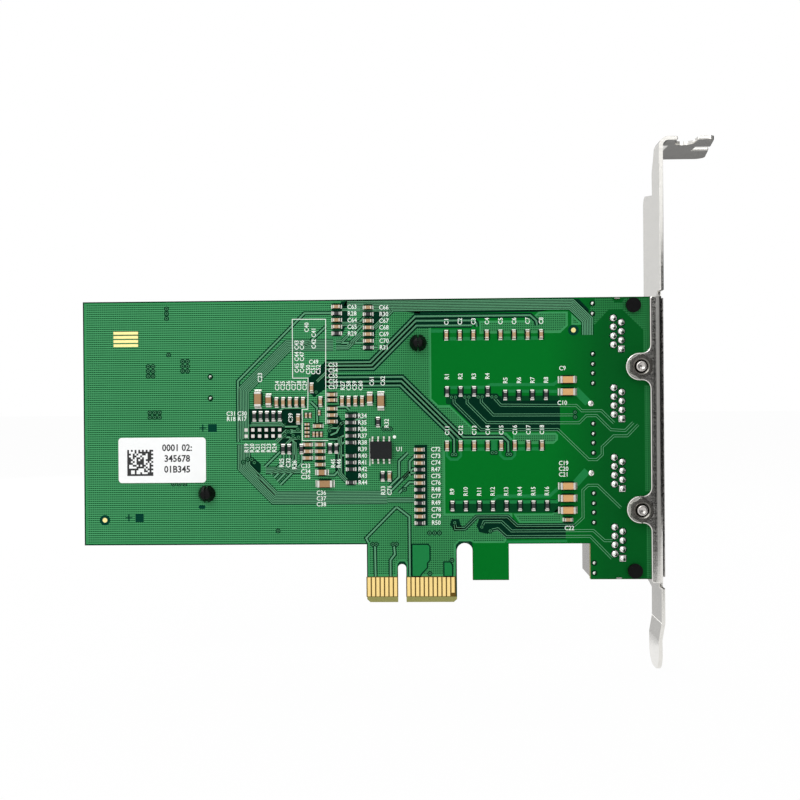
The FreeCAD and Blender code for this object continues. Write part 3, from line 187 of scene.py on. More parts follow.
def surface(name, color, rough, metallic=0.0, grain=900.0, variation=0.08, bump=0.15, gloss=0.5,
            stretch=(1, 1, 1), paint=None):
    """A material with colour variation, uneven roughness and a fine bump; paint may rework the colour."""
    material = bpy.data.materials.new(name)
    tree = Tree(material)
    where = tree.add("ShaderNodeTexCoord").outputs["Object"]
    scaled = tree.add("ShaderNodeMapping", Vector=where, Scale=stretch).outputs[0]
    fine = tree.noise(scaled, grain)
    broad = tree.noise(scaled, grain * 0.15)
    tint = tree.mix(broad, shade(color, 1 - variation), shade(color, 1 + variation))
    if paint:
        tint = paint(tree, where, tint)
    relief = tree.add("ShaderNodeBump", Strength=bump, Distance=BUMP_DEPTH, Height=fine)
    uneven = tree.spread(fine, rough[0], rough[1], 0.3, 0.7)
    tree.output("ShaderNodeOutputMaterial", tree.add(
        "ShaderNodeBsdfPrincipled", Base_Color=tint, Roughness=uneven, Metallic=metallic,
        Specular_IOR_Level=gloss, Normal=relief.outputs[0]))
    return material


def mask(name, color, grain=260, variation=0.08, paint=None):
    """Solder mask over copper or over bare laminate."""
    return surface(name, color, (0.42, 0.55), 0.0, grain, variation, 0.06, 0.02, paint=paint)


def wear(piece, material):
    """Give a CAD node or a piece one material."""
    piece.data.materials.clear()
    piece.data.materials.append(material)


# Stage

FLOOR_Z = -15.8
FLOOR_HALF = 4000.0
LAMPS = (
    ("key", (-260, -560, 520), 460, 2.3),
    ("fill", (420, -520, 180), 420, 0.9),
    ("top", (0, 200, 620), 500, 1.4),
    ("back", (-300, 560, 240), 420, 1.6),
)
# Cards that stand round the camera and behind the card. Only polished metal shows them.
CARDS = (
    ("card_front", [(66, -110, -15), (150, -110, -15), (150, -110, 94), (66, -110, 94)], 0.01),
    ("card_side", [(150, -110, -15), (250, 6, -15), (250, 6, 200), (150, -110, 200)], 0.34),
    ("card_right", [(320, 10, -15), (90, 620, -15), (90, 620, 420), (320, 10, 420)], 0.01),
    ("card_back", [(-160, 300, 20), (50, 300, 20), (50, 300, 330), (-160, 300, 330)], 0.68),
    ("card_low", [(75, 230, -15), (300, 230, -15), (300, 230, 70), (75, 230, 70)], 0.24),
    ("card_floor", [(-90, 25, -15.6), (52, 25, -15.6), (52, 420, -15.6), (-90, 420, -15.6)], 0.55),
)


def light_stage():
    world = bpy.data.worlds.new("studio")
    bpy.context.scene.world = world
    tree = Tree(world)
    sky = tree.mix(seen_ray(tree), (0.5, 0.5, 0.5, 1), (1, 1, 1, 1))
    tree.output("ShaderNodeOutputWorld", tree.add("ShaderNodeBackground", Color=sky))
    h = FLOOR_HALF
    tree = stage_plane("floor", [(-h, -h, FLOOR_Z), (h, -h, FLOOR_Z), (h, h, FLOOR_Z), (-h, h, FLOOR_Z)])[1]
    both = tree.add("ShaderNodeMixShader")
    tree.put(both.inputs[0], tree.math("MULTIPLY", seen_ray(tree), 0.97))
    tree.put(both.inputs[1], tree.add("ShaderNodeBsdfDiffuse", Color=(0.85, 0.85, 0.85, 1)).outputs[0])
    tree.put(both.inputs[2], tree.add("ShaderNodeEmission", Color=(1, 1, 1, 1), Strength=1.0).outputs[0])
    tree.output("ShaderNodeOutputMaterial", both)
    for name, place, size, watts in LAMPS:
        add_lamp(name, place, (0, 0, 50), size, watts)
    for name, corners, strength in CARDS:
        card, tree = stage_plane(name, corners)
        for kind in ("camera", "diffuse", "shadow", "transmission"):
            setattr(card, "visible_" + kind, False)
        grey = (strength, strength, strength, 1)
        tree.output("ShaderNodeOutputMaterial", tree.add("ShaderNodeEmission", Color=grey, Strength=1.0))


def new_object(name, data):
    """An object that stands in the scene."""
    made = bpy.data.objects.new(name, data)
    bpy.context.scene.collection.objects.link(made)
    return made


def stage_plane(name, corners):
    """A flat piece of the stage with a material, and the material's node tree."""
    mesh = bpy.data.meshes.new(name)
    mesh.from_pydata([Vector(corner) * MM for corner in corners], [], [(0, 1, 2, 3)])
    plane = new_object(name, mesh)
    mesh.materials.append(bpy.data.materials.new(name))
    return plane, Tree(mesh.materials[0])


def seen_ray(tree):
    """1 for what the camera sees, straight or in metal and glass."""
    path = tree.add("ShaderNodeLightPath")
    return tree.math("MAXIMUM", path.outputs["Is Camera Ray"],
                     tree.math("MAXIMUM", path.outputs["Is Glossy Ray"], path.outputs["Is Transmission Ray"]))


def add_lamp(name, place, aim, size, watts):
    data = bpy.data.lights.new(name, "AREA")
    data.size = size * MM
    data.energy = watts
    lamp = new_object(name, data)
    lamp.location = Vector(place) * MM
    lamp.rotation_euler = (Vector(place) - Vector(aim)).to_track_quat("Z", "Y").to_euler()


# Shapes in millimetres

def add_object(name, bm, material, replaced=()):
    """Turn a bmesh in millimetres into a piece of the card."""
    bmesh.ops.scale(bm, vec=(MM, MM, MM), verts=bm.verts)
    mesh = bpy.data.meshes.new(name)
    bm.to_mesh(mesh)
    bm.free()
    piece = new_object(name, mesh)
    for item in material if isinstance(material, (list, tuple)) else [material]:
        mesh.materials.append(item)
    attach(piece, "root")
    if replaced:
        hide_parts(*replaced)
    return piece


def add_solid(name, bm, material, replaced=()):
    """A piece of closed shapes, whose faces all turn outwards."""
    bmesh.ops.recalc_face_normals(bm, faces=bm.faces)
    add_object(name, bm, material, replaced)


def skin(bm, rings, start=0):
    """Faces between rings of corners. They close round, unless start is 1."""
    return [bm.faces.new((a[k - 1], a[k], b[k], b[k - 1])) for a, b in zip(rings, rings[1:])
            for k in range(start, len(a))]


def islands(name):
    """The box of every separate solid of a CAD node, as two corners."""
    mesh = nodes[name].data
    keys = [tuple(round(c / MM, 3) for c in v.co) for v in mesh.vertices]
    parent = {}

    def find(key):
        parent.setdefault(key, key)
        while parent[key] != key:
            parent[key] = parent[parent[key]]
            key = parent[key]
        return key

    for edge in mesh.edges:
        parent[find(keys[edge.vertices[0]])] = find(keys[edge.vertices[1]])
    groups = {}
    for key in keys:
        groups.setdefault(find(key), []).append(key)
    boxes = [([min(p[i] for p in g) for i in range(3)], [max(p[i] for p in g) for i in range(3)])
             for g in groups.values()]
    return sorted(boxes)


def middle_of(low, high):
    """The middle of a box in X and Z."""
    return (low[0] + high[0]) / 2, (low[2] + high[2]) / 2


def rectangle(x0, x1, z0, z1):
    """The corners of a rectangle, in X first."""
    return [(x0, z0), (x1, z0), (x1, z1), (x0, z1)]


def block(x, z, half_x, half_z, y0, y1):
    """A box about a middle, as two corners in space."""
    return (x - half_x, y0, z - half_z), (x + half_x, y1, z + half_z)


def turning(points):
    """More than 0 where a closed outline runs anticlockwise."""
    return sum(a[0] * b[1] - b[0] * a[1] for a, b in zip(points, points[1:] + points[:1]))


def circle(x, z, radius, sides):
    turns = [2 * math.pi * k / sides for k in range(sides)]
    return [(x + radius * math.cos(t), z + radius * math.sin(t)) for t in turns]


def offset_path(points, distance):
    """A path moved to its left by a distance, with mitred corners."""
    moved = []
    for i, point in enumerate(points):
        here = Vector(point)
        normals = []
        for a, b in ((i - 1, i), (i, i + 1)):
            if a >= 0 and b < len(points):
                run = (Vector(points[b]) - Vector(points[a])).normalized()
                normals.append(Vector((-run.y, run.x)))
        normal = normals[0]
        if len(normals) == 2:
            normal = (normals[0] + normals[1]).normalized()
            normal = normal / max(0.3, normal.dot(normals[0]))
        moved.append(tuple(here + normal * distance))
    return moved


class Layer:
    """A thin layer on a face of the board, made of outlines in X and Z."""

    def __init__(self, lift, side=-1):
        self.bm = bmesh.new()
        self.lift = lift
        self.side = side

    def area(self, points):
        if turning(points) * self.side > 0:
            points = points[::-1]
        face_y = self.side * abs(SOLDER_Y)
        front = [self.bm.verts.new((x, face_y + self.side * self.lift, z)) for x, z in points]
        back = [self.bm.verts.new((x, face_y, z)) for x, z in points]
        self.bm.faces.new(front)
        for i in range(len(points)):
            j = (i + 1) % len(points)
            self.bm.faces.new((front[j], front[i], back[i], back[j]))

    def bar(self, x0, x1, z0, z1):
        self.area(rectangle(x0, x1, z0, z1))

    def pad(self, low, high, margin_x, margin_z):
        """A bar that keeps two margins round a box."""
        self.bar(low[0] - margin_x, high[0] + margin_x, low[2] - margin_z, high[2] + margin_z)

    def line(self, points, width):
        self.area(offset_path(points, width / 2) + offset_path(points, -width / 2)[::-1])

    def disc(self, x, z, radius, sides=16):
        self.area(circle(x, z, radius, sides))

    def band(self, outer, inner):
        """The strip between two closed outlines with as many corners each."""
        for i in range(len(outer)):
            j = (i + 1) % len(outer)
            self.area([outer[i], outer[j], inner[j], inner[i]])

    def border(self, points, width):
        """A strip of even width along a closed outline."""
        self.band(offset_ring(points, -width / 2), offset_ring(points, width / 2))

    def done(self, name, material):
        add_object(name, self.bm, material)


def plates(name, lift, outlines, material, side=-1):
    """A layer that holds outlines only."""
    layer = Layer(lift, side)
    for points in outlines:
        layer.area(points)
    layer.done(name, material)


# Solder side: copper under the green mask. Corners are X and Z.

MAIN_POUR = [(-72.1, 68.4), (6.95, 68.4), (6.95, 46.1), (8.5, 44.6), (11.0, 44.6), (17.3, 38.3), (23.8, 38.3),
             (25.4, 36.6), (22.9, 36.6), (12.6, 36.6), (9.9, 36.2), (9.9, 20.1), (25.0, 20.1), (25.0, 17.0),
             (23.3, 13.4), (16.3, 13.4), (15.6, 13.8), (13.0, 13.8), (12.2, 13.0), (12.1, 5.9), (1.15, 5.9),
             (1.02, 8.7), (0.55, 9.3), (-0.55, 9.3), (-1.02, 8.7), (-1.15, 5.9), (-7.7, 5.9), (-7.7, 13.5),
             (-72.1, 13.5)]
POURS = (
    MAIN_POUR,
    [(17.9, 60.7), (17.9, 63.6), (29.2, 63.6), (31.2, 65.5), (37.8, 65.5), (37.8, 62.3), (36.1, 60.7)],
    [(38.6, 65.0), (41.2, 62.5), (38.6, 62.5)],
    [(44.0, 68.4), (47.7, 68.4), (48.3, 67.4), (50.0, 67.4), (50.6, 68.4), (56.3, 68.4), (56.3, 55.5),
     (54.7, 55.2), (54.7, 61.2), (50.0, 65.9), (46.9, 65.8), (43.9, 62.6), (42.8, 62.6), (42.8, 66.2)],
    [(25.3, 38.2), (34.9, 38.2), (35.4, 37.7), (35.4, 36.6), (34.4, 35.7), (25.3, 35.7)],
    [(25.2, 20.0), (34.0, 20.0), (35.5, 21.4), (36.3, 21.4), (36.3, 17.9), (26.6, 17.9)],
    [(54.9, 48.8), (56.2, 48.8), (56.2, 24.9), (54.9, 24.9)],
    [(55.1, 17.6), (56.2, 17.6), (56.2, 5.4), (55.1, 5.4)],
)
ISOLATION = [(6.9, 68.6), (56.5, 68.6), (56.5, 5.2), (42.6, 5.2), (42.6, 13.3), (24.1, 13.3), (24.1, 5.1),
             (16.1, 5.1), (16.1, 12.0), (15.9, 13.5), (14.3, 15.3), (9.0, 18.0), (6.9, 30.0)]
# Darker ground between the resistor pads
ROW_GROUNDS = ((11.0, 35.9, 20.2, 23.2), (10.2, 22.0, 44.8, 47.2), (22.0, 35.9, 45.3, 46.6))
# Dark places without copper, where traces run close together
GAPS = (
    [(11.2, 44.8), (12.0, 47.0), (21.9, 47.0), (23.2, 45.5), (35.9, 45.5), (35.9, 38.5), (17.5, 38.5)],
    [(16.9, 17.3), (17.6, 19.0), (24.3, 19.0), (26.4, 17.0), (37.0, 17.0), (37.0, 14.3), (23.6, 14.3),
     (21.6, 16.2), (19.4, 15.5), (17.6, 15.8)],
    [(10.9, 17.6), (11.3, 18.8), (13.0, 18.8), (13.4, 17.4), (14.0, 16.4), (11.9, 16.1)],
    [(-36.1, 40.1), (-26.9, 40.1), (-25.4, 41.2), (-22.7, 41.2), (-22.7, 36.4), (-24.6, 33.2), (-28.4, 36.9),
     (-36.1, 36.9)],
    [(-37.2, 36.2), (-35.2, 34.2), (-31.9, 31.6), (-31.9, 29.8), (-33.1, 29.3), (-37.0, 30.4)],
    [(-34.6, 44.1), (-27.1, 44.1), (-22.6, 44.1), (-22.4, 41.0), (-26.9, 40.6), (-34.6, 40.6)],
    [(-21.0, 50.9), (-16.9, 54.9), (-15.6, 54.9), (-15.6, 49.6), (-19.7, 46.6), (-21.0, 48.0)],
    [(-16.2, 42.6), (-14.2, 42.6), (-12.9, 40.4), (-12.9, 27.6), (-15.0, 30.0), (-15.0, 36.8), (-16.7, 37.4)],
    [(-9.9, 43.2), (-9.2, 42.6), (-9.2, 27.2), (-12.6, 27.2), (-12.6, 43.2)],
    [(-13.4, 68.3), (-11.9, 68.4), (-10.8, 66.6), (-13.3, 60.4), (-13.4, 60.0)],
    [(-6.3, 67.4), (-5.2, 67.4), (-2.0, 66.7), (-1.0, 66.6), (-5.6, 61.6), (-6.1, 57.4)],
    [(3.0, 35.7), (5.9, 35.7), (5.9, 17.4), (3.0, 17.4)],
    [(3.2, 68.6), (3.2, 65.3), (31.0, 65.5), (34.2, 65.9), (38.9, 65.9), (41.9, 62.6), (42.5, 62.6),
     (42.5, 66.0), (40.3, 68.3)],
    [(-12.2, 68.5), (-12.9, 67.2), (-8.8, 67.9), (-2.2, 66.4), (4.5, 65.3), (4.5, 68.5)],
)
# Differential pairs across the middle of the board
PAIRS = (
    [(-17.0, 54.5), (-6.9, 54.5), (3.4, 64.75), (29.4, 64.75), (30.7, 63.5), (30.9, 62.5)],
    [(-17.0, 53.75), (-6.5, 53.75), (3.55, 63.75), (16.6, 63.7), (17.2, 63.1), (17.3, 62.3)],
    [(-17.0, 52.95), (-6.1, 52.95), (3.65, 62.65), (16.2, 62.6)],
    [(-17.0, 51.1), (0.4, 51.1), (14.1, 37.35), (23.0, 37.35), (24.2, 36.2), (24.2, 33.7)],
    [(-17.0, 50.1), (0.2, 50.1), (13.0, 37.3), (13.3, 36.9)],
    [(-17.0, 49.15), (-0.1, 49.15), (11.6, 37.5), (12.0, 36.9), (12.0, 33.7)],
)
# Single traces, which run out to the jacks
SINGLES = (
    [(12.0, 46.2), (12.1, 45.1), (18.1, 39.0), (35.4, 38.9), (42.3, 32.1), (44.1, 32.1), (45.3, 33.2),
     (45.3, 34.9), (47.9, 37.4), (51.0, 37.4), (53.4, 39.9)],
    [(15.0, 46.2), (15.0, 45.1), (19.4, 40.6), (40.2, 40.4), (41.8, 42.0), (44.1, 42.0), (47.3, 38.8),
     (50.5, 38.6), (52.3, 40.4)],
    [(18.2, 46.2), (18.2, 45.2), (20.9, 42.3), (39.1, 42.2)],
    [(21.1, 46.2), (22.6, 44.5), (39.6, 44.3), (40.8, 43.1), (45.2, 43.1), (48.0, 40.3)],
    [(12.0, 18.1), (12.2, 16.7), (14.3, 16.7), (16.9, 19.3), (24.0, 19.3), (26.1, 17.3), (39.0, 17.3),
     (40.9, 19.0), (40.9, 25.2), (42.1, 26.3), (44.2, 26.3), (49.4, 21.2)],
    [(18.1, 17.0), (18.6, 18.2), (22.6, 18.2), (24.8, 16.1), (43.2, 16.1), (45.7, 13.8), (47.6, 13.8)],
    [(20.0, 16.2), (21.7, 16.6), (23.6, 14.8), (42.5, 14.8), (47.3, 9.8)],
)
# Outer traces of the controller's routing, each with a dark gap on both sides
OUTLINED = (
    [(-37.0, 36.6), (-37.0, 50.4), (-21.7, 65.7), (-15.3, 65.7)],
    [(-28.6, 24.6), (-31.9, 27.9), (-33.0, 29.4)],
    [(-1.1, 21.6), (1.75, 19.4), (1.75, 6.0)],
    [(-1.2, 21.6), (-8.1, 14.6), (-7.6, 13.6)],
    [(-6.0, 5.9), (-6.1, 13.0)],
    [(-2.6, 5.9), (-2.6, 9.6), (-1.6, 10.9), (-1.8, 13.0)],
    [(-3.0, 24.6), (1.6, 29.3), (3.3, 29.4)],
    [(-2.7, 26.3), (-0.5, 28.4), (-0.5, 32.0), (1.5, 33.9)],
    [(-16.9, 62.6), (-21.6, 58.2)],
    [(-31.0, 30.9), (-27.2, 34.6)],
    [(-8.0, 41.9), (-13.6, 40.7), (-14.6, 38.6), (-16.0, 38.0)],
    [(-29.6, 29.2), (-26.7, 32.1), (-26.7, 33.6)],
    [(-28.9, 28.4), (-25.4, 31.9), (-25.4, 33.6)],
    [(-28.2, 27.6), (-24.1, 31.7), (-24.1, 33.6)],
    [(-27.5, 26.8), (-22.6, 31.7), (-22.6, 34.2)],
    [(-12.9, 41.1), (-14.4, 39.6), (-16.4, 39.6)],
    [(-12.9, 37.9), (-14.6, 37.1), (-16.4, 37.1)],
    [(-12.9, 36.4), (-15.2, 34.6)],
    [(-12.9, 33.4), (-13.8, 33.4), (-13.8, 30.4), (-15.2, 28.9), (-16.6, 28.9)],
    [(-16.6, 44.4), (-12.4, 44.4), (-11.6, 43.6)],
    [(-20.4, 45.6), (-19.0, 44.2), (-19.0, 40.0)],
    [(-22.9, 44.2), (-26.6, 44.2), (-28.4, 43.2)],
    [(4.6, 33.2), (3.2, 33.2), (1.9, 31.9), (1.9, 28.6)],
    [(4.6, 30.2), (2.6, 30.2), (0.4, 28.0)],
    [(4.6, 27.2), (1.8, 27.2), (-0.6, 24.8)],
    [(-9.8, 63.0), (-7.2, 65.6)],
    [(-9.8, 61.5), (-6.3, 65.0)],
    [(-13.4, 58.9), (-8.0, 58.9)],
    [(-8.9, 57.8), (-5.2, 57.8)],
    [(-26.4, 40.0), (-23.4, 40.0)],
    [(-28.0, 37.6), (-25.4, 37.6), (-24.0, 36.2)],
)
# Bundles: the path of the middle, and the number of traces
BUNDLES = (
    ([(-35.75, 37.2), (-35.75, 48.3), (-25.5, 58.4), (-15.2, 58.4)], 7),
    ([(-35.75, 36.0), (-35.75, 30.9), (-28.8, 23.85), (-3.2, 23.85)], 8),
    ([(-12.0, 67.15), (4.0, 67.15), (34.5, 67.15), (38.6, 67.15), (42.2, 63.6), (42.2, 60.2)], 7),
    ([(-14.6, 59.2), (-13.3, 59.2), (-9.4, 62.9)], 2),
    ([(-14.6, 57.9), (-12.0, 57.9), (-8.9, 60.9)], 3),
    ([(-3.1, 23.2), (3.2, 23.2)], 3),
    ([(-13.2, 66.4), (-9.0, 66.4)], 2),
    ([(-13.2, 63.2), (-8.9, 63.2)], 3),
    ([(-5.9, 62.2), (-1.9, 66.2)], 3),
    ([(-30.8, 30.1), (-22.9, 30.1)], 4),
    ([(-24.9, 38.9), (-22.6, 38.9)], 2),
    ([(-34.0, 40.6), (-27.0, 40.6)], 3),
    ([(-24.2, 36.4), (-24.2, 32.6), (-25.6, 31.2)], 3),
    ([(-13.9, 37.6), (-13.9, 29.2), (-12.4, 27.6)], 3),
    ([(-19.0, 50.2), (-16.9, 52.2)], 2),
    ([(-28.3, 36.6), (-26.0, 38.9), (-24.6, 38.9)], 3),
    ([(-27.2, 34.9), (-24.8, 37.3), (-22.9, 37.3)], 2),
    ([(-29.4, 42.9), (-26.6, 40.1)], 2),
)
# Plain copper without hatching: paths with a width
STRAPS = (
    ([(10.2, 59.6), (19.7, 59.6)], 0.8),
    ([(22.5, 59.6), (31.8, 59.6)], 0.8),
    ([(7.0, 61.4), (9.8, 61.4)], 0.8),
    ([(11.2, 61.3), (12.7, 61.3)], 0.8),
    ([(14.2, 61.3), (15.8, 61.3)], 0.8),
    ([(10.2, 48.6), (19.8, 48.6)], 0.7),
    ([(19.6, 48.8), (20.4, 49.15), (34.5, 49.1), (35.9, 50.2)], 0.7),
    ([(23.4, 47.7), (36.0, 47.5)], 0.7),
    ([(39.3, 47.9), (42.2, 44.9)], 1.7),
    ([(13.6, 34.6), (20.0, 34.6)], 0.75),
    ([(25.7, 34.6), (31.9, 34.6)], 0.75),
    ([(14.2, 36.2), (16.0, 36.2)], 0.9),
    ([(17.2, 36.2), (19.0, 36.2)], 0.9),
    ([(21.0, 33.4), (21.0, 36.6)], 1.3),
    ([(10.35, 34.4), (10.35, 33.1), (11.2, 32.3), (12.7, 32.3), (13.5, 33.1), (13.5, 34.4)], 0.55),
    ([(22.4, 34.4), (22.4, 33.2), (23.3, 32.4), (24.9, 32.4), (25.7, 33.2), (25.7, 34.4)], 0.55),
    ([(11.5, 22.65), (20.2, 22.65), (21.7, 23.95), (33.4, 23.95), (35.9, 26.1)], 0.75),
    ([(23.6, 22.65), (35.0, 22.65), (35.9, 23.4)], 0.75),
    ([(39.2, 26.6), (41.9, 29.6)], 1.7),
    ([(23.6, 13.65), (37.3, 13.75)], 0.5),
)
SOLID_PLATES = (
    [(2.4, 13.0), (5.9, 13.0), (6.2, 12.6), (6.2, 9.6), (5.6, 8.9), (5.6, 7.9), (4.2, 6.4),
     (4.1, 6.0), (2.4, 6.0)],
    [(9.6, 6.0), (9.6, 9.0), (10.9, 9.0), (11.3, 8.3), (11.3, 6.0)],
)
# Groups of vias: the first, and the number of columns and rows
VIA_GROUPS = ((-53.2, 67.0, 1, 3), (-57.5, 53.9, 2, 3), (-49.6, 55.0, 2, 3), (-57.2, 43.4, 3, 2),
              (6.3, 15.7, 3, 1))
VIA_PITCH = 1.1
VIAS = [(x + i * VIA_PITCH, z - j * VIA_PITCH) for x, z, columns, rows in VIA_GROUPS
        for i in range(columns) for j in range(rows)]
VIAS += (
    (-52.8, 56.5), (-28.1, 16.3), (-6.6, 13.2), (-5.8, 13.2), (-2.0, 13.2), (-1.2, 13.2), (11.45, 46.4),
    (12.35, 46.4), (14.5, 46.4), (15.4, 46.4), (17.5, 46.4), (18.4, 46.4), (20.6, 46.4), (21.5, 46.4),
    (11.6, 33.4), (12.3, 33.4), (24.0, 33.4), (24.7, 33.4), (12.0, 18.0), (18.1, 17.0), (20.0, 16.1),
    (39.3, 42.8), (39.3, 41.7), (0.7, 25.6), (20.6, 33.8), (21.4, 33.8), (-3.9, 39.3), (-3.1, 39.3),
    (-2.4, 39.3), (-34.9, 32.6), (-34.0, 32.6), (-35.9, 32.0), (-33.4, 31.9), (11.3, 9.5), (6.3, 6.5),
    (-23.4, 39.4), (-24.5, 38.0), (-23.3, 37.6), (-25.6, 38.9), (-26.4, 38.0), (-20.3, 48.0), (-19.2, 47.8),
    (-15.9, 40.2), (-16.2, 39.0), (-14.9, 36.0), (-51.9, 27.1), (-50.6, 27.1), (-49.3, 27.1),
)


def hatch(tree, where, tint):
    """Small dark openings in a copper net, in rows that grow into dots towards the jack."""
    x = tree.along(where, "X")
    near = tree.spread(x, 0.0, 0.5, -0.014, 0.002)
    far = tree.spread(x, 0.0, 0.4, 0.036, 0.046)
    waves = []
    for place, half, shrink in ((x, 0.42, 0.22), (tree.along(where, "Z"), 0.22, 0.0)):
        phase = tree.math("FRACT", tree.math("DIVIDE", place, HATCH_PITCH * MM))
        middle = tree.math("ABSOLUTE", tree.math("SUBTRACT", phase, 0.5))
        middle = tree.math("ADD", middle, tree.math("MULTIPLY", near, shrink))
        waves.append(tree.spread(middle, 1.0, 0.0, half - 0.07, half + 0.07))
    opening = tree.math("MULTIPLY", waves[0], waves[1])
    return tree.mix(opening, tree.mix(tree.math("ADD", near, far), tint, srgb(34, 112, 56)), srgb(4, 62, 30))


def isolation_tint(tree, where, tint):
    """The bare area grows darker towards the jack."""
    return tree.mix(tree.spread(tree.along(where, "X"), 0.0, 1.0, 0.033, 0.046), tint, srgb(4, 84, 30))


def board_tint(tree, where, tint):
    """Green mask on both faces, and the bare edge and bevel of the laminate."""
    normal = tree.add("ShaderNodeNewGeometry").outputs["Normal"]
    flat = tree.math("GREATER_THAN", tree.math("ABSOLUTE", tree.along(normal, "Y")), 0.99)
    return tree.mix(flat, srgb(150, 148, 92), tint)


def copper_and_mask():
    wear(nodes["circuit_board"], mask("mask_dark", srgb(3, 52, 31), 500, 0.1, board_tint))
    plates("mask_isolation", LIFT_ISOLATION, [ISOLATION],
           mask("mask_isolation", srgb(2, 108, 34), 120, 0.04, isolation_tint))
    plates("copper_net", LIFT_POUR, POURS, mask("mask_net", srgb(72, 154, 100), paint=hatch))
    layer = Layer(LIFT_BORDER)
    for points in POURS[:3] + POURS[4:-2]:
        layer.border(offset_ring(points, BORDER_WIDTH / 2), BORDER_WIDTH)
    layer.done("copper_borders", mask("mask_copper", srgb(58, 142, 86)))

    gap = Layer(LIFT_GAP)
    trace = Layer(LIFT_TRACE)
    for points in GAPS:
        gap.area(points)
    for points in PAIRS:
        gap.line(points, PAIR_CLEARANCE)
    gap.line(SINGLES[4][:7], SINGLE_CLEARANCE)
    for paths, apart, width in ((PAIRS, PAIR_GAP, PAIR_TRACE), (SINGLES, SINGLE_GAP, SINGLE_TRACE)):
        for points in paths:
            for side in (-1, 1):
                trace.line(offset_path(points, side * apart / 2), width)
    for points in OUTLINED:
        gap.line(points, OUTLINED_CLEARANCE)
        trace.line(points, OUTLINED_TRACE)
    for points, count in BUNDLES:
        gap.line(points, (count + 0.6) * BUNDLE_PITCH)
        for k in range(count):
            trace.line(offset_path(points, (k - (count - 1) / 2) * BUNDLE_PITCH), BUNDLE_TRACE)
    for points in SOLID_PLATES:
        gap.border(points, PLATE_BORDER)
    gap.done("mask_gaps", mask("mask_gap", srgb(1, 42, 27), 500, 0.1))
    trace.done("traces", mask("mask_trace", srgb(92, 152, 114)))

    plates("row_grounds", LIFT_BORDER, [rounded(*box, 0.4) for box in ROW_GROUNDS],
           mask("mask_row", srgb(4, 66, 32), 260, 0.1))
    strap = Layer(LIFT_STRAP)
    for points, width in STRAPS:
        strap.line(points, width)
    for points in SOLID_PLATES:
        strap.area(points)
    strap.done("copper_straps", mask("mask_strap", srgb(30, 124, 66)))

    dark = Layer(LIFT_PAD_GAP)
    ring = Layer(LIFT_PAD)
    hole = Layer(LIFT_HOLE)
    for x, z in VIAS:
        dark.disc(x, z, VIA_GAP)
        ring.band(*(circle(x, z, radius, 16) for radius in (VIA_RADIUS, VIA_HOLE)))
        hole.disc(x, z, VIA_HOLE, 10)
    # Dark pads round the chips. Under chips on the copper net they are clearance in the copper; round chips
    # on the bare area they are painted shade.
    for name in ("small_capacitors", "small_resistors", "large_capacitor_bodies"):
        for low, high in islands(name):
            if low[1] < 0:
                dark.area(around(low, high, PAD_MARGIN, 0.2))
    dark.done("pad_gaps_and_painted_shade", mask("mask_pad_gap_and_painted_shade", srgb(2, 44, 27), 500, 0.1))
    ring.done("via_rings", mask("mask_via", srgb(70, 132, 92)))
    hole.done("via_holes", mask("mask_via_hole", srgb(6, 48, 30), 500, 0.1))


def around(low, high, margin, radius):
    """The rounded outline that keeps a margin round a box."""
    return rounded(low[0] - margin, high[0] + margin, low[2] - margin, high[2] + margin, radius)


def rounded(x0, x1, z0, z1, r, steps=3):
    """The corners of a rectangle with rounded corners."""
    points = []
    for i, (cx, cz) in enumerate(rectangle(x1 - r, x0 + r, z1 - r, z0 + r)):
        for k in range(steps + 1):
            t = math.pi / 2 * (i + k / steps)
            points.append((cx + r * math.cos(t), cz + r * math.sin(t)))
    return points


def offset_ring(points, distance):
    """A closed outline moved inwards."""
    inward = 1 if turning(points) > 0 else -1
    moved = []
    count = len(points)
    for i in range(count):
        before, here, after = (Vector(points[j % count]) for j in (i - 1, i, i + 1))
        first = (here - before).normalized()
        second = (after - here).normalized()
        normal = Vector((-first.y - second.y, first.x + second.x)).normalized()
        reach = distance / max(0.35, normal.dot(Vector((-first.y, first.x))))
        moved.append(tuple(here + normal * reach * inward))
    return moved


# Printing

FRAME_LINES = (
    [(-24.5, 51.0), (-24.5, 64.35), (-16.9, 64.3), (-17.05, 40.5)],
    [(-24.6, 51.0), (-21.0, 51.0), (-21.1, 43.9), (-22.4, 43.9), (-22.4, 36.85), (-16.6, 36.8)],
    [(-7.1, 37.2), (-7.1, 31.0)],
)
FRAME_WIDTH = 0.15
PIN_DOT = (-1.5, 37.5, 0.38)
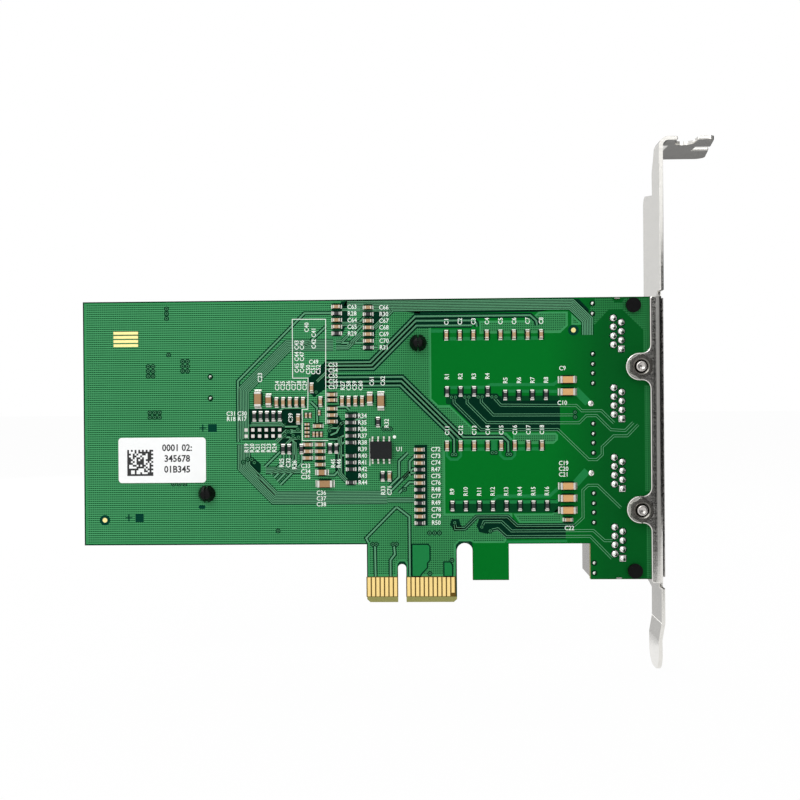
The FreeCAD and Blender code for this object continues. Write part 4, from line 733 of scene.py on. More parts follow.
# Reference marks: the kinds in a row, the middle of the first, the step in X and Z, and whether upright
MARKS = (
    ("CCCCCCCC", 10.5, 63.5, 3.05, 0, True),
    ("RRRR", 10.5, 51.1, 3.05, 0, True),
    ("RRRR", 23.7, 50.1, 3.05, 0, True),
    ("C", 36.5, 52.7, 0, 0, False),
    ("C", 36.4, 44.9, 0, 0, False),
    ("CCCCCCCC", 10.5, 38.9, 3.05, 0, True),
    ("CCC", 36.6, 31.3, 0, -1.28, False),
    ("RRRRRRRR", 11.5, 25.05, 3.05, 0, True),
    ("C", 37.8, 16.65, 0, 0, False),
    ("C", -31.9, 51.2, 0, 0, True),
    ("CCCCCC", -28.0, 49.3, 1.25, 0, True),
    ("CC", -36.1, 43.0, -2.5, 0, False),
    ("RR", -36.1, 41.8, -2.5, 0, False),
    ("RRRRRR", -35.1, 35.2, 1.27, 0, True),
    ("RC", -27.1, 31.8, 1.5, 0, True),
    ("R", -24.2, 31.3, 0, 0, True),
    ("CCC", -21.7, 31.0, 0, -1.25, False),
    ("CCC", -18.2, 24.9, 0, -1.3, False),
    ("C", -25.0, 42.0, 0, 0, True),
    ("C", -21.2, 62.5, 0, 0, True),
    ("CC", -19.6, 61.3, 0, -2.6, True),
    ("CCC", -23.5, 58.5, 0, -2.6, True),
    ("CCC", -22.3, 58.5, 0, -2.6, True),
    ("C", -19.7, 54.6, 0, 0, False),
    ("CCC", -20.9, 52.9, 1.15, 0, True),
    ("CCCCC", -15.3, 53.9, 0, -1.25, False),
    ("RCCC", -13.1, 49.2, 1.35, 0, True),
    ("CC", -6.5, 50.2, 2.5, 0, True),
    ("CRCCR", -10.9, 67.0, 0, -1.51, False),
    ("CRCCCCR", -3.7, 66.8, 0, -1.51, False),
    ("R", -3.2, 40.6, 0, 0, True),
    ("U", -0.4, 34.7, 0, 0, False),
    ("RC", -4.1, 25.4, 1.45, 0, True),
    ("RRRRRRRRRRR", -8.75, 42.3, 0, -1.51, False),
    ("RR", -15.4, 31.6, 1.3, 0, True),
    ("CCCRCCRCRCCR", 7.8, 34.6, 0, -1.51, False),
)


def add_words(layer, words, x, z, height, upright, weight=PRINT_WEIGHT):
    """Plain letters as thin mesh, lying in a layer."""
    curve = bpy.data.curves.new("words", "FONT")
    curve.body = words
    curve.size = height / LETTER_SHARE
    curve.align_x = curve.align_y = "CENTER"
    curve.offset = height * weight
    curve.resolution_u = 2
    holder = bpy.data.objects.new("words", curve)
    mesh = bpy.data.meshes.new_from_object(holder)
    bpy.data.objects.remove(holder)
    first = len(layer.bm.verts)
    layer.bm.from_mesh(mesh)
    bpy.data.meshes.remove(mesh)
    layer.bm.verts.ensure_lookup_table()
    for vert in layer.bm.verts[first:]:
        u, v = vert.co.x * LETTER_WIDTH, vert.co.y
        if upright:
            u, v = -v, u
        vert.co = (x - layer.side * u, layer.side * (abs(SOLDER_Y) + layer.lift), z + v)


def print_board():
    layer = Layer(LIFT_PRINT)
    for points in FRAME_LINES:
        layer.line(points, FRAME_WIDTH)
    layer.disc(*PIN_DOT)
    counts = {"C": 0, "R": 0, "U": 0}
    for kinds, x, z, step_x, step_z, upright in MARKS:
        for i, kind in enumerate(kinds):
            counts[kind] += 1
            add_words(layer, kind + str(counts[kind]), x + i * step_x, z + i * step_z, PRINT_HEIGHT, upright)
    white = surface("print_white", srgb(240, 248, 240), (0.55, 0.7), grain=1800, variation=0.06, gloss=0.2)
    layer.done("board_print", white)


# Marks on the board: fiducials, dark squares and crosses

DARK_SQUARES = ((-60.7, -58.8, 18.5, 20.35), (-43.9, -41.9, 38.9, 40.7))
CROSSES = ((-62.2, 19.45), (-45.1, 39.85))
PILL = (-46.2, -44.6, 21.45, 22.2)
FIDUCIAL_GAP = 1.2
# Bare laminate between the edge contacts, from bottom to top
CONTACT_GROUND = (1.3, 5.85)
CONTACT_MARGIN = 0.25


def board_marks():
    dark = Layer(LIFT_GAP)
    for low, high in islands("gold_marks"):
        if high[0] - low[0] < 2:
            dark.disc(*middle_of(low, high), FIDUCIAL_GAP, 24)
        else:
            dark.pad(low, high, 0.06, 0.06)
    for box in DARK_SQUARES:
        dark.area(rounded(*box, 0.12))
    for x, z in CROSSES:
        for half_x, half_z in ((0.8, 0.14), (0.14, 0.8)):
            dark.bar(x - half_x, x + half_x, z - half_z, z + half_z)
    dark.area(rounded(*PILL, 0.37))
    for box in islands("bare_pads"):
        dark.pad(*box, 0.3, 0.25)
    mark = surface("mask_mark", srgb(3, 58, 44), (0.4, 0.5), grain=500, variation=0.1, gloss=0.02)
    dark.done("mask_marks", mark)
    edge = Layer(LIFT_GAP)
    boxes = islands("edge_contacts_solder_side")
    for group in ([b for b in boxes if b[1][0] < 0], [b for b in boxes if b[0][0] > 0]):
        edge.bar(group[0][0][0] - CONTACT_MARGIN, group[-1][1][0] + CONTACT_MARGIN, *CONTACT_GROUND)
    edge.done("contact_gaps", surface("bare_laminate", srgb(92, 70, 6), (0.5, 0.6), variation=0.1, gloss=0.2))


# Chip parts, each with metal ends and solder on its pads

def round_edges(bm, edges, width, segments, clamp=True):
    bmesh.ops.bevel(bm, geom=edges, offset=width, segments=segments, profile=0.6, affect="EDGES",
                    clamp_overlap=clamp)


def bevelled(bm, boxes, width, segments=2, index=0):
    """Blocks with rounded edges."""
    made = []
    for low, high in boxes:
        verts = bmesh.ops.create_cube(bm, size=1.0)["verts"]
        bmesh.ops.scale(bm, vec=[b - a for a, b in zip(low, high)], verts=verts)
        bmesh.ops.translate(bm, vec=[(a + b) / 2 for a, b in zip(low, high)], verts=verts)
        made += verts
    for face in {f for v in made for f in v.link_faces}:
        face.material_index = index
    round_edges(bm, list({e for v in made for e in v.link_edges}), width, segments)


def chip_frame(low, high):
    """Middle, half length, half width, height, whether upright, and the side of the board."""
    size_x = high[0] - low[0]
    size_z = high[2] - low[2]
    return (middle_of(low, high), max(size_x, size_z) / 2, min(size_x, size_z) / 2, high[1] - low[1],
            size_z > size_x, -1 if low[1] < 0 else 1)


def chip_box(middle, upright, side, u0, u1, half, h0, h1):
    """A block in a chip's own length and height, as two corners in space."""
    y0, y1 = sorted((side * (abs(SOLDER_Y) + h0), side * (abs(SOLDER_Y) + h1)))
    if upright:
        return (middle[0] - half, y0, middle[1] + u0), (middle[0] + half, y1, middle[1] + u1)
    return (middle[0] + u0, y0, middle[1] - half), (middle[0] + u1, y1, middle[1] + half)


def solder_fillet(bm, middle, upright, side, start, way, half, height, reach, index):
    """Solder that climbs a chip's end, with a hollow slope."""
    turns = [math.pi / 2 * k / 5 for k in range(6)]
    profile = [(start + way * reach * (1 - math.cos(t)), height * (1 - math.sin(t)) + 0.02) for t in turns]
    profile += [(start + way * reach, 0.0), (start - way * 0.05, 0.0), (start - way * 0.05, height)]
    rows = []
    for v in (-half, half):
        row = []
        for u, h in profile:
            x, z = (v, u) if upright else (u, v)
            row.append(bm.verts.new((middle[0] + x, side * (abs(SOLDER_Y) + h), middle[1] + z)))
        rows.append(row)
    for face in [bm.faces.new(rows[0]), bm.faces.new(rows[1][::-1])] + skin(bm, rows[::-1]):
        face.material_index = index


# Half length of the body and where the end caps begin, as shares of half the chip; inset of the body; lift of
# the body and of the caps from the board; rounding and steps of each; and the solder's width beyond the chip,
# its height as a share of the chip's, and its reach
CAPACITOR_STYLE = (0.712, 0.52, 0.03, 0.05, 0.04, (0.04, 1), (0.09, 2), 0.02, 0.7, 0.4)
RESISTOR_STYLE = (0.736, 0.56, 0.02, 0.05, 0.04, (0.04, 1), (0.09, 2), 0.02, 0.7, 0.4)
TINY_STYLE = (0.6, 0.5, 0.02, 0.03, 0.02, (0.03, 1), (0.05, 1), 0.0, 0.6, 0.16)
SPARE_STYLE = (0.6875, 0.525, 0.02, 0.05, 0.03, (0.04, 1), (0.08, 2), 0.0, 0.7, 0.3)


def chip_piece(name, boxes, style, materials, replaced=()):
    """Chips that fill boxes: body, end caps and solder."""
    body_share, cap_share, inset, body_lift, cap_lift, body_round, cap_round, wider, climb, reach = style
    bm = bmesh.new()
    bodies = []
    caps = []
    for low, high in boxes:
        middle, half, width, height, upright, side = chip_frame(low, high)
        body = half * body_share
        bodies.append(chip_box(middle, upright, side, -body, body, width - inset, body_lift, height - inset))
        for way in (-1, 1):
            u0, u1 = sorted((way * half, way * half * cap_share))
            caps.append(chip_box(middle, upright, side, u0, u1, width, cap_lift, height))
            solder_fillet(bm, middle, upright, side, way * half, way, width + wider, height * climb, reach, 1)
    bevelled(bm, bodies, *body_round, 0)
    bevelled(bm, caps, *cap_round, 1)
    add_solid(name, bm, materials, replaced)


# Middles of the smallest chips, which stand inside the printed frame
TINY_UPRIGHT = ((-21.5, 42.5), (-20.6, 42.5), (-18.5, 43.1), (-19.8, 38.2), (-19.0, 38.2), (-18.1, 38.2))
TINY_FLAT = ((-21.3, 40.5), (-21.3, 39.6), (-21.3, 38.7), (-21.3, 37.8))
TINY_HALF = (0.27, 0.5)
TINY_HEIGHT = 0.35


def tiny_chips(materials):
    boxes = []
    for middles, half in ((TINY_UPRIGHT, TINY_HALF), (TINY_FLAT, TINY_HALF[::-1])):
        boxes += [block(x, z, *half, SOLDER_Y - TINY_HEIGHT, SOLDER_Y) for x, z in middles]
    chip_piece("tiny_chip_capacitors", boxes, TINY_STYLE, materials)
    ground = Layer(LIFT_PAD_GAP)
    for box in boxes:
        ground.pad(*box, 0.2, 0.2)
    ground.done("tiny_chip_gaps", bpy.data.materials["mask_pad_gap_and_painted_shade"])


def large_capacitors(materials):
    bm = bmesh.new()
    bodies = islands("large_capacitor_bodies")
    bevelled(bm, bodies, 0.05, 2, 0)
    add_object("large_capacitors", bm, materials[0], ("large_capacitor_bodies",))
    bm = bmesh.new()
    caps = islands("large_capacitor_end_caps")
    for low, high in caps:
        middle, width, half, height, flat, side = chip_frame(low, high)
        same_side = [middle_of(*box) for box in bodies if box[0][1] * side > 0]
        nearest = min(same_side, key=lambda m: abs(m[0] - middle[0]) + abs(m[1] - middle[1]))
        along = 0 if flat else 1
        way = 1 if middle[along] > nearest[along] else -1
        solder_fillet(bm, middle, not flat, side, way * half, way, width, height * 0.7, 0.45, 0)
    bevelled(bm, caps, 0.12, 3, 0)
    add_solid("large_capacitor_ends", bm, materials[1], ("large_capacitor_end_caps",))


# Turned pieces about the Y direction

def lathe(bm, x, z, profile, segments, start=0.0, end=360.0):
    """A turned shape from pairs of radius and y, closed when it goes full round."""
    full = abs(end - start) >= 360
    count = segments if full else segments + 1
    turns = [math.radians(start + (end - start) * k / segments) for k in range(count)]
    rings = [[bm.verts.new((x + radius * math.cos(t), y, z + radius * math.sin(t))) for t in turns]
             for radius, y in profile]
    faces = [bm.faces.new(rings[0]), bm.faces.new(rings[-1])] + skin(bm, rings, 0 if full else 1)
    if not full:
        faces += [bm.faces.new([ring[k] for ring in rings]) for k in (0, count - 1)]
    for face in faces:
        face.smooth = True
    bmesh.ops.recalc_face_normals(bm, faces=faces)


JOINT_PROFILE = ((0.68, 0.0), (0.66, 0.08), (0.56, 0.16), (0.42, 0.22), (0.33, 0.26), (0.3, 0.36),
                 (0.24, 0.42), (0.14, 0.45), (0.02, 0.46))
SQUARE_LANDS = ((49.75, 9.85), (49.75, 25.55), (49.75, 41.25), (49.75, 56.95))
SQUARE_HALF = 0.72
SQUARE_RISE = 0.16
# Where the light leads and the crystal stand, whose joints are smaller
SMALL_JOINTS = ((43.36, 0.62), (-43.3, 0.6))
SHIELD_JOINTS = ((42.83, 29.05), (42.83, 44.75))
JOINT_SIZE = 0.95
LAND_RADIUS = 0.74
LAND_GAP = 0.24
LAND_REACH = 0.7
# Pairs of radius and height of the clipped pin ends. Each is set off from its joint's middle towards +X and
# down, and its dark metal is painted shade: the pin end's shadow on the joint.
PIN_END = ((0.36, 0.12), (0.34, 0.36), (0.28, 0.44), (0.03, 0.48))
PIN_END_OFFSET = 0.24


def solder_joints(tin):
    bm = bmesh.new()
    ring = Layer(LIFT_PAD_GAP)
    land = Layer(LIFT_PAD)
    ends = bmesh.new()
    for low, high in islands("solder_joints"):
        x, z = middle_of(low, high)
        share = 1.0
        for small_x, small_share in SMALL_JOINTS:
            if abs(x - small_x) < 0.1:
                share = small_share
        ring.disc(x, z, LAND_GAP + LAND_REACH * share, 20)
        if share > 0.7:
            land.disc(x, z, LAND_RADIUS * share, 20)
        share *= JOINT_SIZE
        lathe(bm, x, z, [(r * share, SOLDER_Y - h) for r, h in JOINT_PROFILE], 18)
        lathe(ends, x + PIN_END_OFFSET * share, z - PIN_END_OFFSET * share,
              [(r * share, SOLDER_Y - h) for r, h in PIN_END], 10)
    for x, z in SHIELD_JOINTS:
        lathe(bm, x, z, [(r, SOLDER_Y - h) for r, h in JOINT_PROFILE], 18)
    for x, z in SQUARE_LANDS:
        bevelled(bm, [block(x, z, SQUARE_HALF, SQUARE_HALF, SOLDER_Y - SQUARE_RISE, SOLDER_Y)], 0.08)
    add_object("joint_solder", bm, tin, ("solder_joints",))
    # Painted shade: the pin ends wear dark metal for the dark crescent where each pin end shades its joint.
    pin_end_shade = surface("pin_end_painted_shade", srgb(52, 66, 54), (0.3, 0.4), 1.0, 900, 0.1)
    add_object("joint_pin_ends_painted_shade", ends, pin_end_shade)
    ring.done("joint_gaps", surface("mask_joint_gap", srgb(2, 46, 24), (0.4, 0.5), grain=500, gloss=0.02))
    land.done("joint_lands", tin)


NUT_SIDES = 36
NUT_CHAMFER = 0.3
# Pairs of radius and depth below the nut's top, down to the thread
NUT_BORE = ((1.86, 0.0), (1.52, 0.2), (1.46, 0.3))
# Pairs of radius and distance from the screw's end, then from the underside of its head
SCREW_END = ((0.02, 0.22), (0.5, 0.2), (0.66, 0.02), (0.95, 0.0), (1.12, 0.12))
SCREW_HEAD = ((1.2, 0.0), (2.2, 0.0), (2.2, 0.9), (2.0, 1.22), (1.5, 1.35), (0.02, 1.35))
THREAD_START = 0.35
THREAD_TURNS = 7
THREAD_PITCH = 0.36
THREAD_RIDGE = 1.24
THREAD_ROOT = 1.1


def nuts_and_screws(steel, bright):
    half = math.pi / 6
    bm = bmesh.new()
    for low, high in islands("bracket_nuts"):
        x, z = middle_of(low, high)
        top = low[1]
        base = high[1]
        corner = (high[2] - low[2]) / 2
        rings = []
        for y, share in ((base, 1.0), (top + NUT_CHAMFER, 1.0), (top, 0.9)):
            ring = []
            for k in range(NUT_SIDES):
                t = 2 * math.pi * k / NUT_SIDES
                flat = corner * math.cos(half) / math.cos((t + half) % (2 * half) - half)
                reach = min(flat, corner * share)
                ring.append(bm.verts.new((x + reach * math.cos(t), y, z + reach * math.sin(t))))
            rings.append(ring)
        for radius, y in [(r, top + h) for r, h in NUT_BORE] + [(NUT_BORE[-1][0], base)]:
            rings.append([bm.verts.new((px, y, pz)) for px, pz in circle(x, z, radius, NUT_SIDES)])
        skin(bm, rings + rings[:1])
    add_solid("nuts", bm, steel, ("bracket_nuts",))
    bm = bmesh.new()
    for low, high in islands("bracket_screws"):
        head = high[1] - SCREW_HEAD[-1][1]
        profile = [(r, low[1] + h) for r, h in SCREW_END]
        for k in range(THREAD_TURNS):
            y = low[1] + THREAD_START + k * THREAD_PITCH
            profile += [(THREAD_RIDGE, y), (THREAD_ROOT, y + THREAD_PITCH / 2)]
        profile += [(r, head + h) for r, h in SCREW_HEAD]
        lathe(bm, *middle_of(low, high), profile, 28)
    add_object("screws", bm, bright, ("bracket_screws",))


# Pairs of radius and distance from the end: the split tip, then the shank and head
PIN_TIP = ((0.25, 0.02), (0.9, 0.0), (1.0, 0.06), (1.25, 0.5), (1.6, 1.2), (1.9, 1.95), (1.95, 2.1),
           (1.95, 2.3), (1.88, 2.36), (1.5, 2.38), (1.5, 4.0), (0.3, 4.0))
PIN_HEAD = ((1.5, 1.2), (2.9, 1.2), (3.0, 1.1), (3.0, 0.2), (2.85, 0.05), (2.6, 0.0), (1.1, 0.0), (1.0, 0.3),
            (0.02, 0.3))


def push_pins(plastic):
    bm = bmesh.new()
    for low, high in islands("push_pins"):
        x, z = middle_of(low, high)
        tip = [(r, low[1] + h) for r, h in PIN_TIP]
        for start in (0, 180):
            lathe(bm, x, z, tip, 16, start - 82, start + 82)
        shank = low[1] + PIN_TIP[-1][1]
        lathe(bm, x, z, [(0.1, shank), (1.5, shank)] + [(r, high[1] - h) for r, h in PIN_HEAD], 28)
    add_object("heat_sink_pins", bm, plastic, ("push_pins",))


SPRING_WIRE = 0.24
SPRING_TURNS = 4.5
SPRING_STEPS = 90


def springs(steel):
    bm = bmesh.new()
    for low, high in islands("push_pin_springs"):
        x, z = middle_of(low, high)
        radius = (high[2] - low[2]) / 2 - SPRING_WIRE
        rings = []
        for k in range(SPRING_STEPS + 1):
            t = 2 * math.pi * SPRING_TURNS * k / SPRING_STEPS
            y = low[1] + SPRING_WIRE + (high[1] - low[1] - 2 * SPRING_WIRE) * k / SPRING_STEPS
            rings.append([bm.verts.new((x + r * math.cos(t), y + h, z + r * math.sin(t)))
                          for r, h in circle(radius, 0, SPRING_WIRE, 8)])
        for face in skin(bm, rings):
            face.smooth = True
        bm.faces.new(rings[0])
        bm.faces.new(rings[-1])
    add_solid("coil_springs", bm, steel, ("push_pin_springs",))


SHARP_ANGLE = math.radians(28)
# The bracket's plate lies beyond this X, and its edges shorter than this stay sharp
PLATE_X = 58
PLATE_SHORTEST = 0.6


def plate_corner(edge):
    """Short edges of the bracket plate, where a rounding would run into its neighbour."""
    return edge.calc_length() < PLATE_SHORTEST and all(v.co.x > PLATE_X for v in edge.verts)


def softened(node, name, material, width, segments=2, clamp=True, leave=None):
    """A CAD node's own shape with its sharp edges rounded, apart from those that leave() picks."""
    bm = bmesh.new()
    bm.from_mesh(nodes[node].data)
    bmesh.ops.scale(bm, vec=(1 / MM, 1 / MM, 1 / MM), verts=bm.verts)
    bmesh.ops.remove_doubles(bm, verts=bm.verts, dist=0.0005)
    bmesh.ops.dissolve_limit(bm, angle_limit=math.radians(1), verts=bm.verts, edges=bm.edges)
    edges = [e for e in bm.edges if len(e.link_faces) == 2 and e.calc_face_angle(0) > SHARP_ANGLE
             and not (leave and leave(e))]
    round_edges(bm, edges, width, segments, clamp)
    for face in bm.faces:
        face.smooth = False
    add_object(name, bm, material, (node,))


# Identity label

# Lift of the label's print, just above its paper
LABEL_INK = 0.112
BLOCK_LEFT = -62.45
BLOCK_BOTTOM = 29.0
BLOCK_SIZE = 5.95
BLOCK_CELLS = 14
LABEL_LINES = ("0001 02:", "345678", "01B345")
# Middle of the first line, the step between the lines and the height of their letters
LABEL_WORDS = (-51.0, 35.3, 2.45, 1.5)
LABEL_WEIGHT = 0.035


def label_print():
    """A generic square code of random cells with a solid edge, and three lines of plain figures."""
    layer = Layer(LABEL_INK)
    cell = BLOCK_SIZE / BLOCK_CELLS
    end = BLOCK_CELLS - 1
    for row in range(BLOCK_CELLS):
        for column in range(BLOCK_CELLS):
            edge = column == 0 or row == 0
            tick = (row == end and column % 2 == 0) or (column == end and row % 2 == 1)
            inner = 0 < row < end and 0 < column < end and rng.random() < 0.5
            if edge or tick or inner:
                x = BLOCK_LEFT + column * cell
                z = BLOCK_BOTTOM + row * cell
                layer.bar(x, x + cell * 1.01, z, z + cell * 1.01)
    x, z, step, height = LABEL_WORDS
    for i, words in enumerate(LABEL_LINES):
        add_words(layer, words, x, z - i * step, height, False, LABEL_WEIGHT)
    layer.done("label_print", surface("label_ink", srgb(18, 18, 20), (0.5, 0.6), grain=1800, variation=0.15))


# Component side: the hidden side of the board, with guessed routing

HIDDEN_POUR = [(-72.1, 68.4), (41.8, 68.4), (41.8, 13.5), (23.9, 13.5), (23.9, 5.3), (16.3, 5.3),
               (16.3, 13.6), (12.1, 13.9), (12.1, 5.9), (1.15, 5.9), (1.15, 8.9), (0.6, 9.6), (-0.6, 9.6),
               (-1.15, 8.9), (-1.15, 5.9), (-7.7, 5.9), (-7.7, 13.5), (-72.1, 13.5)]
HIDDEN_ISOLATION = [(6.9, 66.5), (41.8, 66.5), (41.8, 15.6), (6.9, 15.6)]
TRANSFORMER_Z = (53.9, 28.6)
TRANSFORMER_X = 21.05
LEAD_PITCH = 1.016
HIDDEN_CLEARANCE = 0.42
HIDDEN_TRACE = 0.18
OUTLINE_WIDTH = 0.16
HIDDEN_PRINT_HEIGHT = 1.5
# Half length, half width and height of the small chips here
SPARE_SIZES = (0.8, 0.4, 0.6)
HIDDEN_SPARE_CHIPS = ((-50.5, 61.0), (-50.5, 59.2), (-46.0, 18.4), (-46.0, 16.6), (-60.0, 25.8),
                      (-60.0, 24.0), (-50.0, 41.0), (-50.0, 39.2), (37.6, 41.5), (37.6, 39.7),
                      (3.4, 66.4), (3.4, 64.7))
HIDDEN_MARKS = (("T", 21.05, 63.6, False), ("T", 21.05, 19.0, False), ("L", -61.5, 41.9, False),
                ("Q", -57.5, 58.6, False), ("Q", -51.4, 35.9, False), ("Y", -45.4, 49.0, True),
                ("J", 39.9, 36.9, True), ("C", -66.5, 54.6, False), ("C", -55.0, 18.6, False),
                ("C", -64.2, 18.6, False), ("U", 1.6, 41.0, True))


def hidden_paths():
    """Routing between the controller, the transformers and the jack."""
    paths = []
    for zc in TRANSFORMER_Z:
        for k in range(8):
            x = TRANSFORMER_X - 11.2 + k * 3 * LEAD_PITCH
            rise = 7.3 + 0.42 * (7 - k)
            paths.append([(x, zc + 6.9), (x, zc + rise), (x - 0.4, zc + rise + 0.4), (6.0, zc + rise + 0.4),
                          (2.4, zc + rise - 3.2), (-0.6, zc + rise - 3.2)])
            x = TRANSFORMER_X - 10.2 + k * 3 * LEAD_PITCH
            fall = 7.3 + 0.42 * k
            paths.append([(x, zc - 6.9), (x, zc - fall), (x + 0.4, zc - fall - 0.4), (36.4, zc - fall - 0.4),
                          (38.6, zc - fall + 1.8), (42.6, zc - fall + 1.8)])
    for k in range(5):
        paths.append([(-39.4, 30.0 + 0.5 * k), (-44.0, 30.0 + 0.5 * k), (-47.0, 33.0 + 0.5 * k)])
        paths.append([(-39.4, 57.0 + 0.5 * k), (-46.0, 57.0 + 0.5 * k), (-48.4, 59.4 + 0.5 * k)])
        paths.append([(2.0 + 2.0 * k, 6.0), (2.0 + 2.0 * k, 9.0 + 0.5 * k), (-2.0 + k * 0.5, 13.0 + 0.5 * k),
                      (-2.0 + k * 0.5, 21.6)])
    return paths


def component_side():
    side = 1
    materials = bpy.data.materials
    plates("copper_net_component_side", LIFT_POUR, [HIDDEN_POUR], materials["mask_net"], side)
    plates("isolation_component_side", LIFT_BORDER, [HIDDEN_ISOLATION], materials["mask_isolation"], side)
    gap = Layer(LIFT_GAP, side)
    trace = Layer(LIFT_TRACE, side)
    hole = Layer(LIFT_PAD, side)
    for points in hidden_paths():
        gap.line(points, HIDDEN_CLEARANCE)
        trace.line(points, HIDDEN_TRACE)
        for layer, radius, sides in ((gap, 0.45, 16), (trace, 0.32, 16), (hole, 0.15, 10)):
            layer.disc(*points[-1], radius, sides)
    for node in ("large_capacitor_bodies", "regulators", "power_inductor", "line_transformers", "crystal"):
        for low, high in islands(node):
            if low[1] > 0:
                gap.area(around(low, high, 0.4, 0.3))
    half_x, half_z, height = SPARE_SIZES
    boxes = [block(x, z, half_x, half_z, -SOLDER_Y, height - SOLDER_Y) for x, z in HIDDEN_SPARE_CHIPS]
    for box in boxes:
        gap.pad(*box, 0.4, 0.25)
    chips = [materials["ceramic_pale"], materials["tin_plate"]]
    chip_piece("component_side_chips", boxes, SPARE_STYLE, chips)
    gap.done("mask_gaps_component_side", materials["mask_gap"])
    trace.done("traces_component_side", materials["mask_trace"])
    hole.done("via_holes_component_side", materials["mask_via_hole"])
    print_layer = Layer(LIFT_PRINT, side)
    for zc in TRANSFORMER_Z:
        print_layer.border(rectangle(6.6, 35.5, zc - 7.1, zc + 7.1), OUTLINE_WIDTH)
        print_layer.disc(36.5, zc + 6.0, 0.4)
    for low, high in islands("power_inductor") + islands("crystal"):
        if low[1] > 0:
            print_layer.border(around(low, high, 0.7, 1.0), OUTLINE_WIDTH)
    counts = {}
    for kind, x, z, upright in HIDDEN_MARKS:
        counts[kind] = counts.get(kind, 0) + 1
        add_words(print_layer, kind + str(counts[kind]), x, z, HIDDEN_PRINT_HEIGHT, upright)
    for i, (x, z) in enumerate(HIDDEN_SPARE_CHIPS):
        add_words(print_layer, "C" + str(90 + i), x + (2.6 if x > 0 else 2.8), z, 1.1, False)
    print_layer.done("component_side_print", materials["print_white"])


# Materials of the CAD nodes

def browner(tree, where, tint):
    """The large capacitors left of the middle come from a browner batch."""
    return tree.mix(tree.spread(tree.along(where, "X"), 1.0, 0.0, -0.002, 0.0), tint, srgb(160, 124, 84))


# Colour, roughness, metallic, grain, variation, bump, gloss, stretch and paint of every finish, as surface()
# takes them. What is left out keeps the value that surface() gives.
FINISHES = {
    "gold_plate": ((248, 218, 144), (0.3, 0.42), 1.0, 1500, 0.05),
    "pale_gold": ((250, 236, 160), (0.3, 0.42), 1.0, 1500, 0.05),
    "tin_plate": ((214, 212, 206), (0.26, 0.42), 1.0, 1800, 0.08),
    "solder_bright": ((246, 246, 242), (0.1, 0.2), 1.0, 900, 0.05),
    "bracket_steel": ((226, 224, 219), (0.14, 0.24), 1.0, 900, 0.05, 0.25, 0.5, (1, 1, 5)),
    "bright_steel": ((190, 186, 182), (0.2, 0.34), 1.0, 1500, 0.1),
    "nut_steel": ((122, 120, 115), (0.2, 0.3), 1.0, 1500, 0.12),
    "black_moulding": ((28, 30, 31), (0.5, 0.62), 0.0, 2600, 0.15, 0.3, 0.12),
    "pin_plastic": ((7, 8, 8), (0.26, 0.36), 0.0, 1500, 0.15, 0.2, 0.12),
    "housing_plastic": ((10, 10, 11), (0.32, 0.45), 0.0, 1500, 0.12, 0.2, 0.1),
    "sink_aluminium": ((60, 62, 66), (0.4, 0.5), 0.7, 900, 0.08),
    "ceramic_tan": ((208, 160, 104), (0.35, 0.5), 0.0, 160, 0.12, 0.15, 0.4, (1, 1, 1), browner),
    "ceramic_pale": ((172, 142, 106), (0.35, 0.5), 0.0, 260, 0.16, 0.15, 0.4),
    "resistor_film": ((28, 29, 31), (0.3, 0.42), 0.0, 900, 0.2),
    "label_paper": ((246, 247, 247), (0.5, 0.6), 0.0, 2500, 0.02),
    "green_lens": ((120, 200, 110), (0.2, 0.3), 0.0, 900, 0.05),
    "amber_lens": ((235, 170, 60), (0.2, 0.3), 0.0, 900, 0.05),
    "thermal_grey": ((120, 122, 126), (0.6, 0.7), 0.0, 1500, 0.08),
    "ferrite": ((58, 58, 62), (0.5, 0.6), 0.0, 2500, 0.12, 0.3),
}
# The finish of every material slot whose own name isn't that of a finish
SLOT_FINISHES = {"gold": "gold_plate", "tin": "tin_plate", "screw_steel": "bright_steel",
                 "shield_metal": "bright_steel", "chip_black": "black_moulding", "ferrite_grey": "ferrite",
                 "capacitor_ceramic": "ceramic_tan", "resistor_black": "resistor_film",
                 "label_white": "label_paper"}
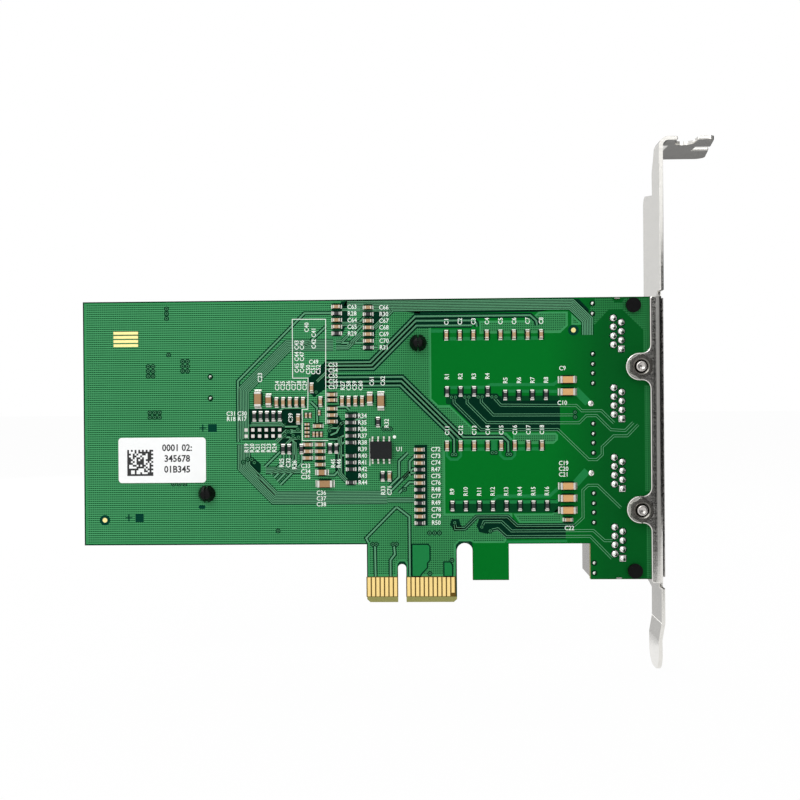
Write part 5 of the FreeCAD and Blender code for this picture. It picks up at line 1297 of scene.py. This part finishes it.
# Name, CAD node, style, finish of the bodies and material slot
SMALL_CHIPS = (
    ("small_chip_capacitors", "small_capacitors", CAPACITOR_STYLE, "ceramic_pale", "capacitor_ceramic"),
    ("small_chip_resistors", "small_resistors", RESISTOR_STYLE, "resistor_film", "resistor_black"),
)
# CAD node, name, finish, material slot, width of the rounding and number of steps in it
SOFTENED = (
    ("memory_chip", "memory_body", "black_moulding", "chip_black", 0.14, 2),
    ("memory_chip_leads", "memory_leads", "tin_plate", "tin", 0.04, 1),
    ("line_transformers", "transformer_bodies", "black_moulding", "chip_black", 0.25, 3),
    ("heat_sink", "heat_sink_body", "sink_aluminium", "sink_aluminium", 0.12, 2),
    ("controller_chip", "controller_body", "black_moulding", "chip_black", 0.06, 2),
    ("regulators", "regulator_bodies", "black_moulding", "chip_black", 0.12, 2),
    ("power_inductor", "inductor_core", "ferrite", "ferrite_grey", 0.3, 3),
    ("crystal", "crystal_can", "bright_steel", "shield_metal", 0.2, 3),
)


def dress_nodes():
    made = {name: surface(name, srgb(*values[0]), *values[1:]) for name, values in FINISHES.items()}
    tin, bright = made["tin_plate"], made["bright_steel"]
    for part in frame["record"]["subparts"]:
        slot = part["material_slot"]
        finish = SLOT_FINISHES.get(slot, slot)
        if finish in made:
            wear(nodes[part["node"]], made[finish])
    wear(nodes["gold_marks"], made["pale_gold"])
    for name, node, style, body, slot in SMALL_CHIPS:
        chip_piece(name, islands(node), style, [made[body], tin], (node,))
    tiny_chips([made["ceramic_pale"], tin])
    large_capacitors((made["ceramic_tan"], tin))
    solder_joints(made["solder_bright"])
    nuts_and_screws(made["nut_steel"], bright)
    push_pins(made["pin_plastic"])
    springs(bright)
    softened("bracket", "bracket_sheet", made["bracket_steel"], 0.22, clamp=False,
             leave=plate_corner)
    for node, name, finish, slot, width, segments in SOFTENED:
        softened(node, name, made[finish], width, segments)


bpy.context.scene.view_settings.view_transform = "Standard"
place_camera()
light_stage()
copper_and_mask()
board_marks()
print_board()
label_print()
dress_nodes()
component_side()
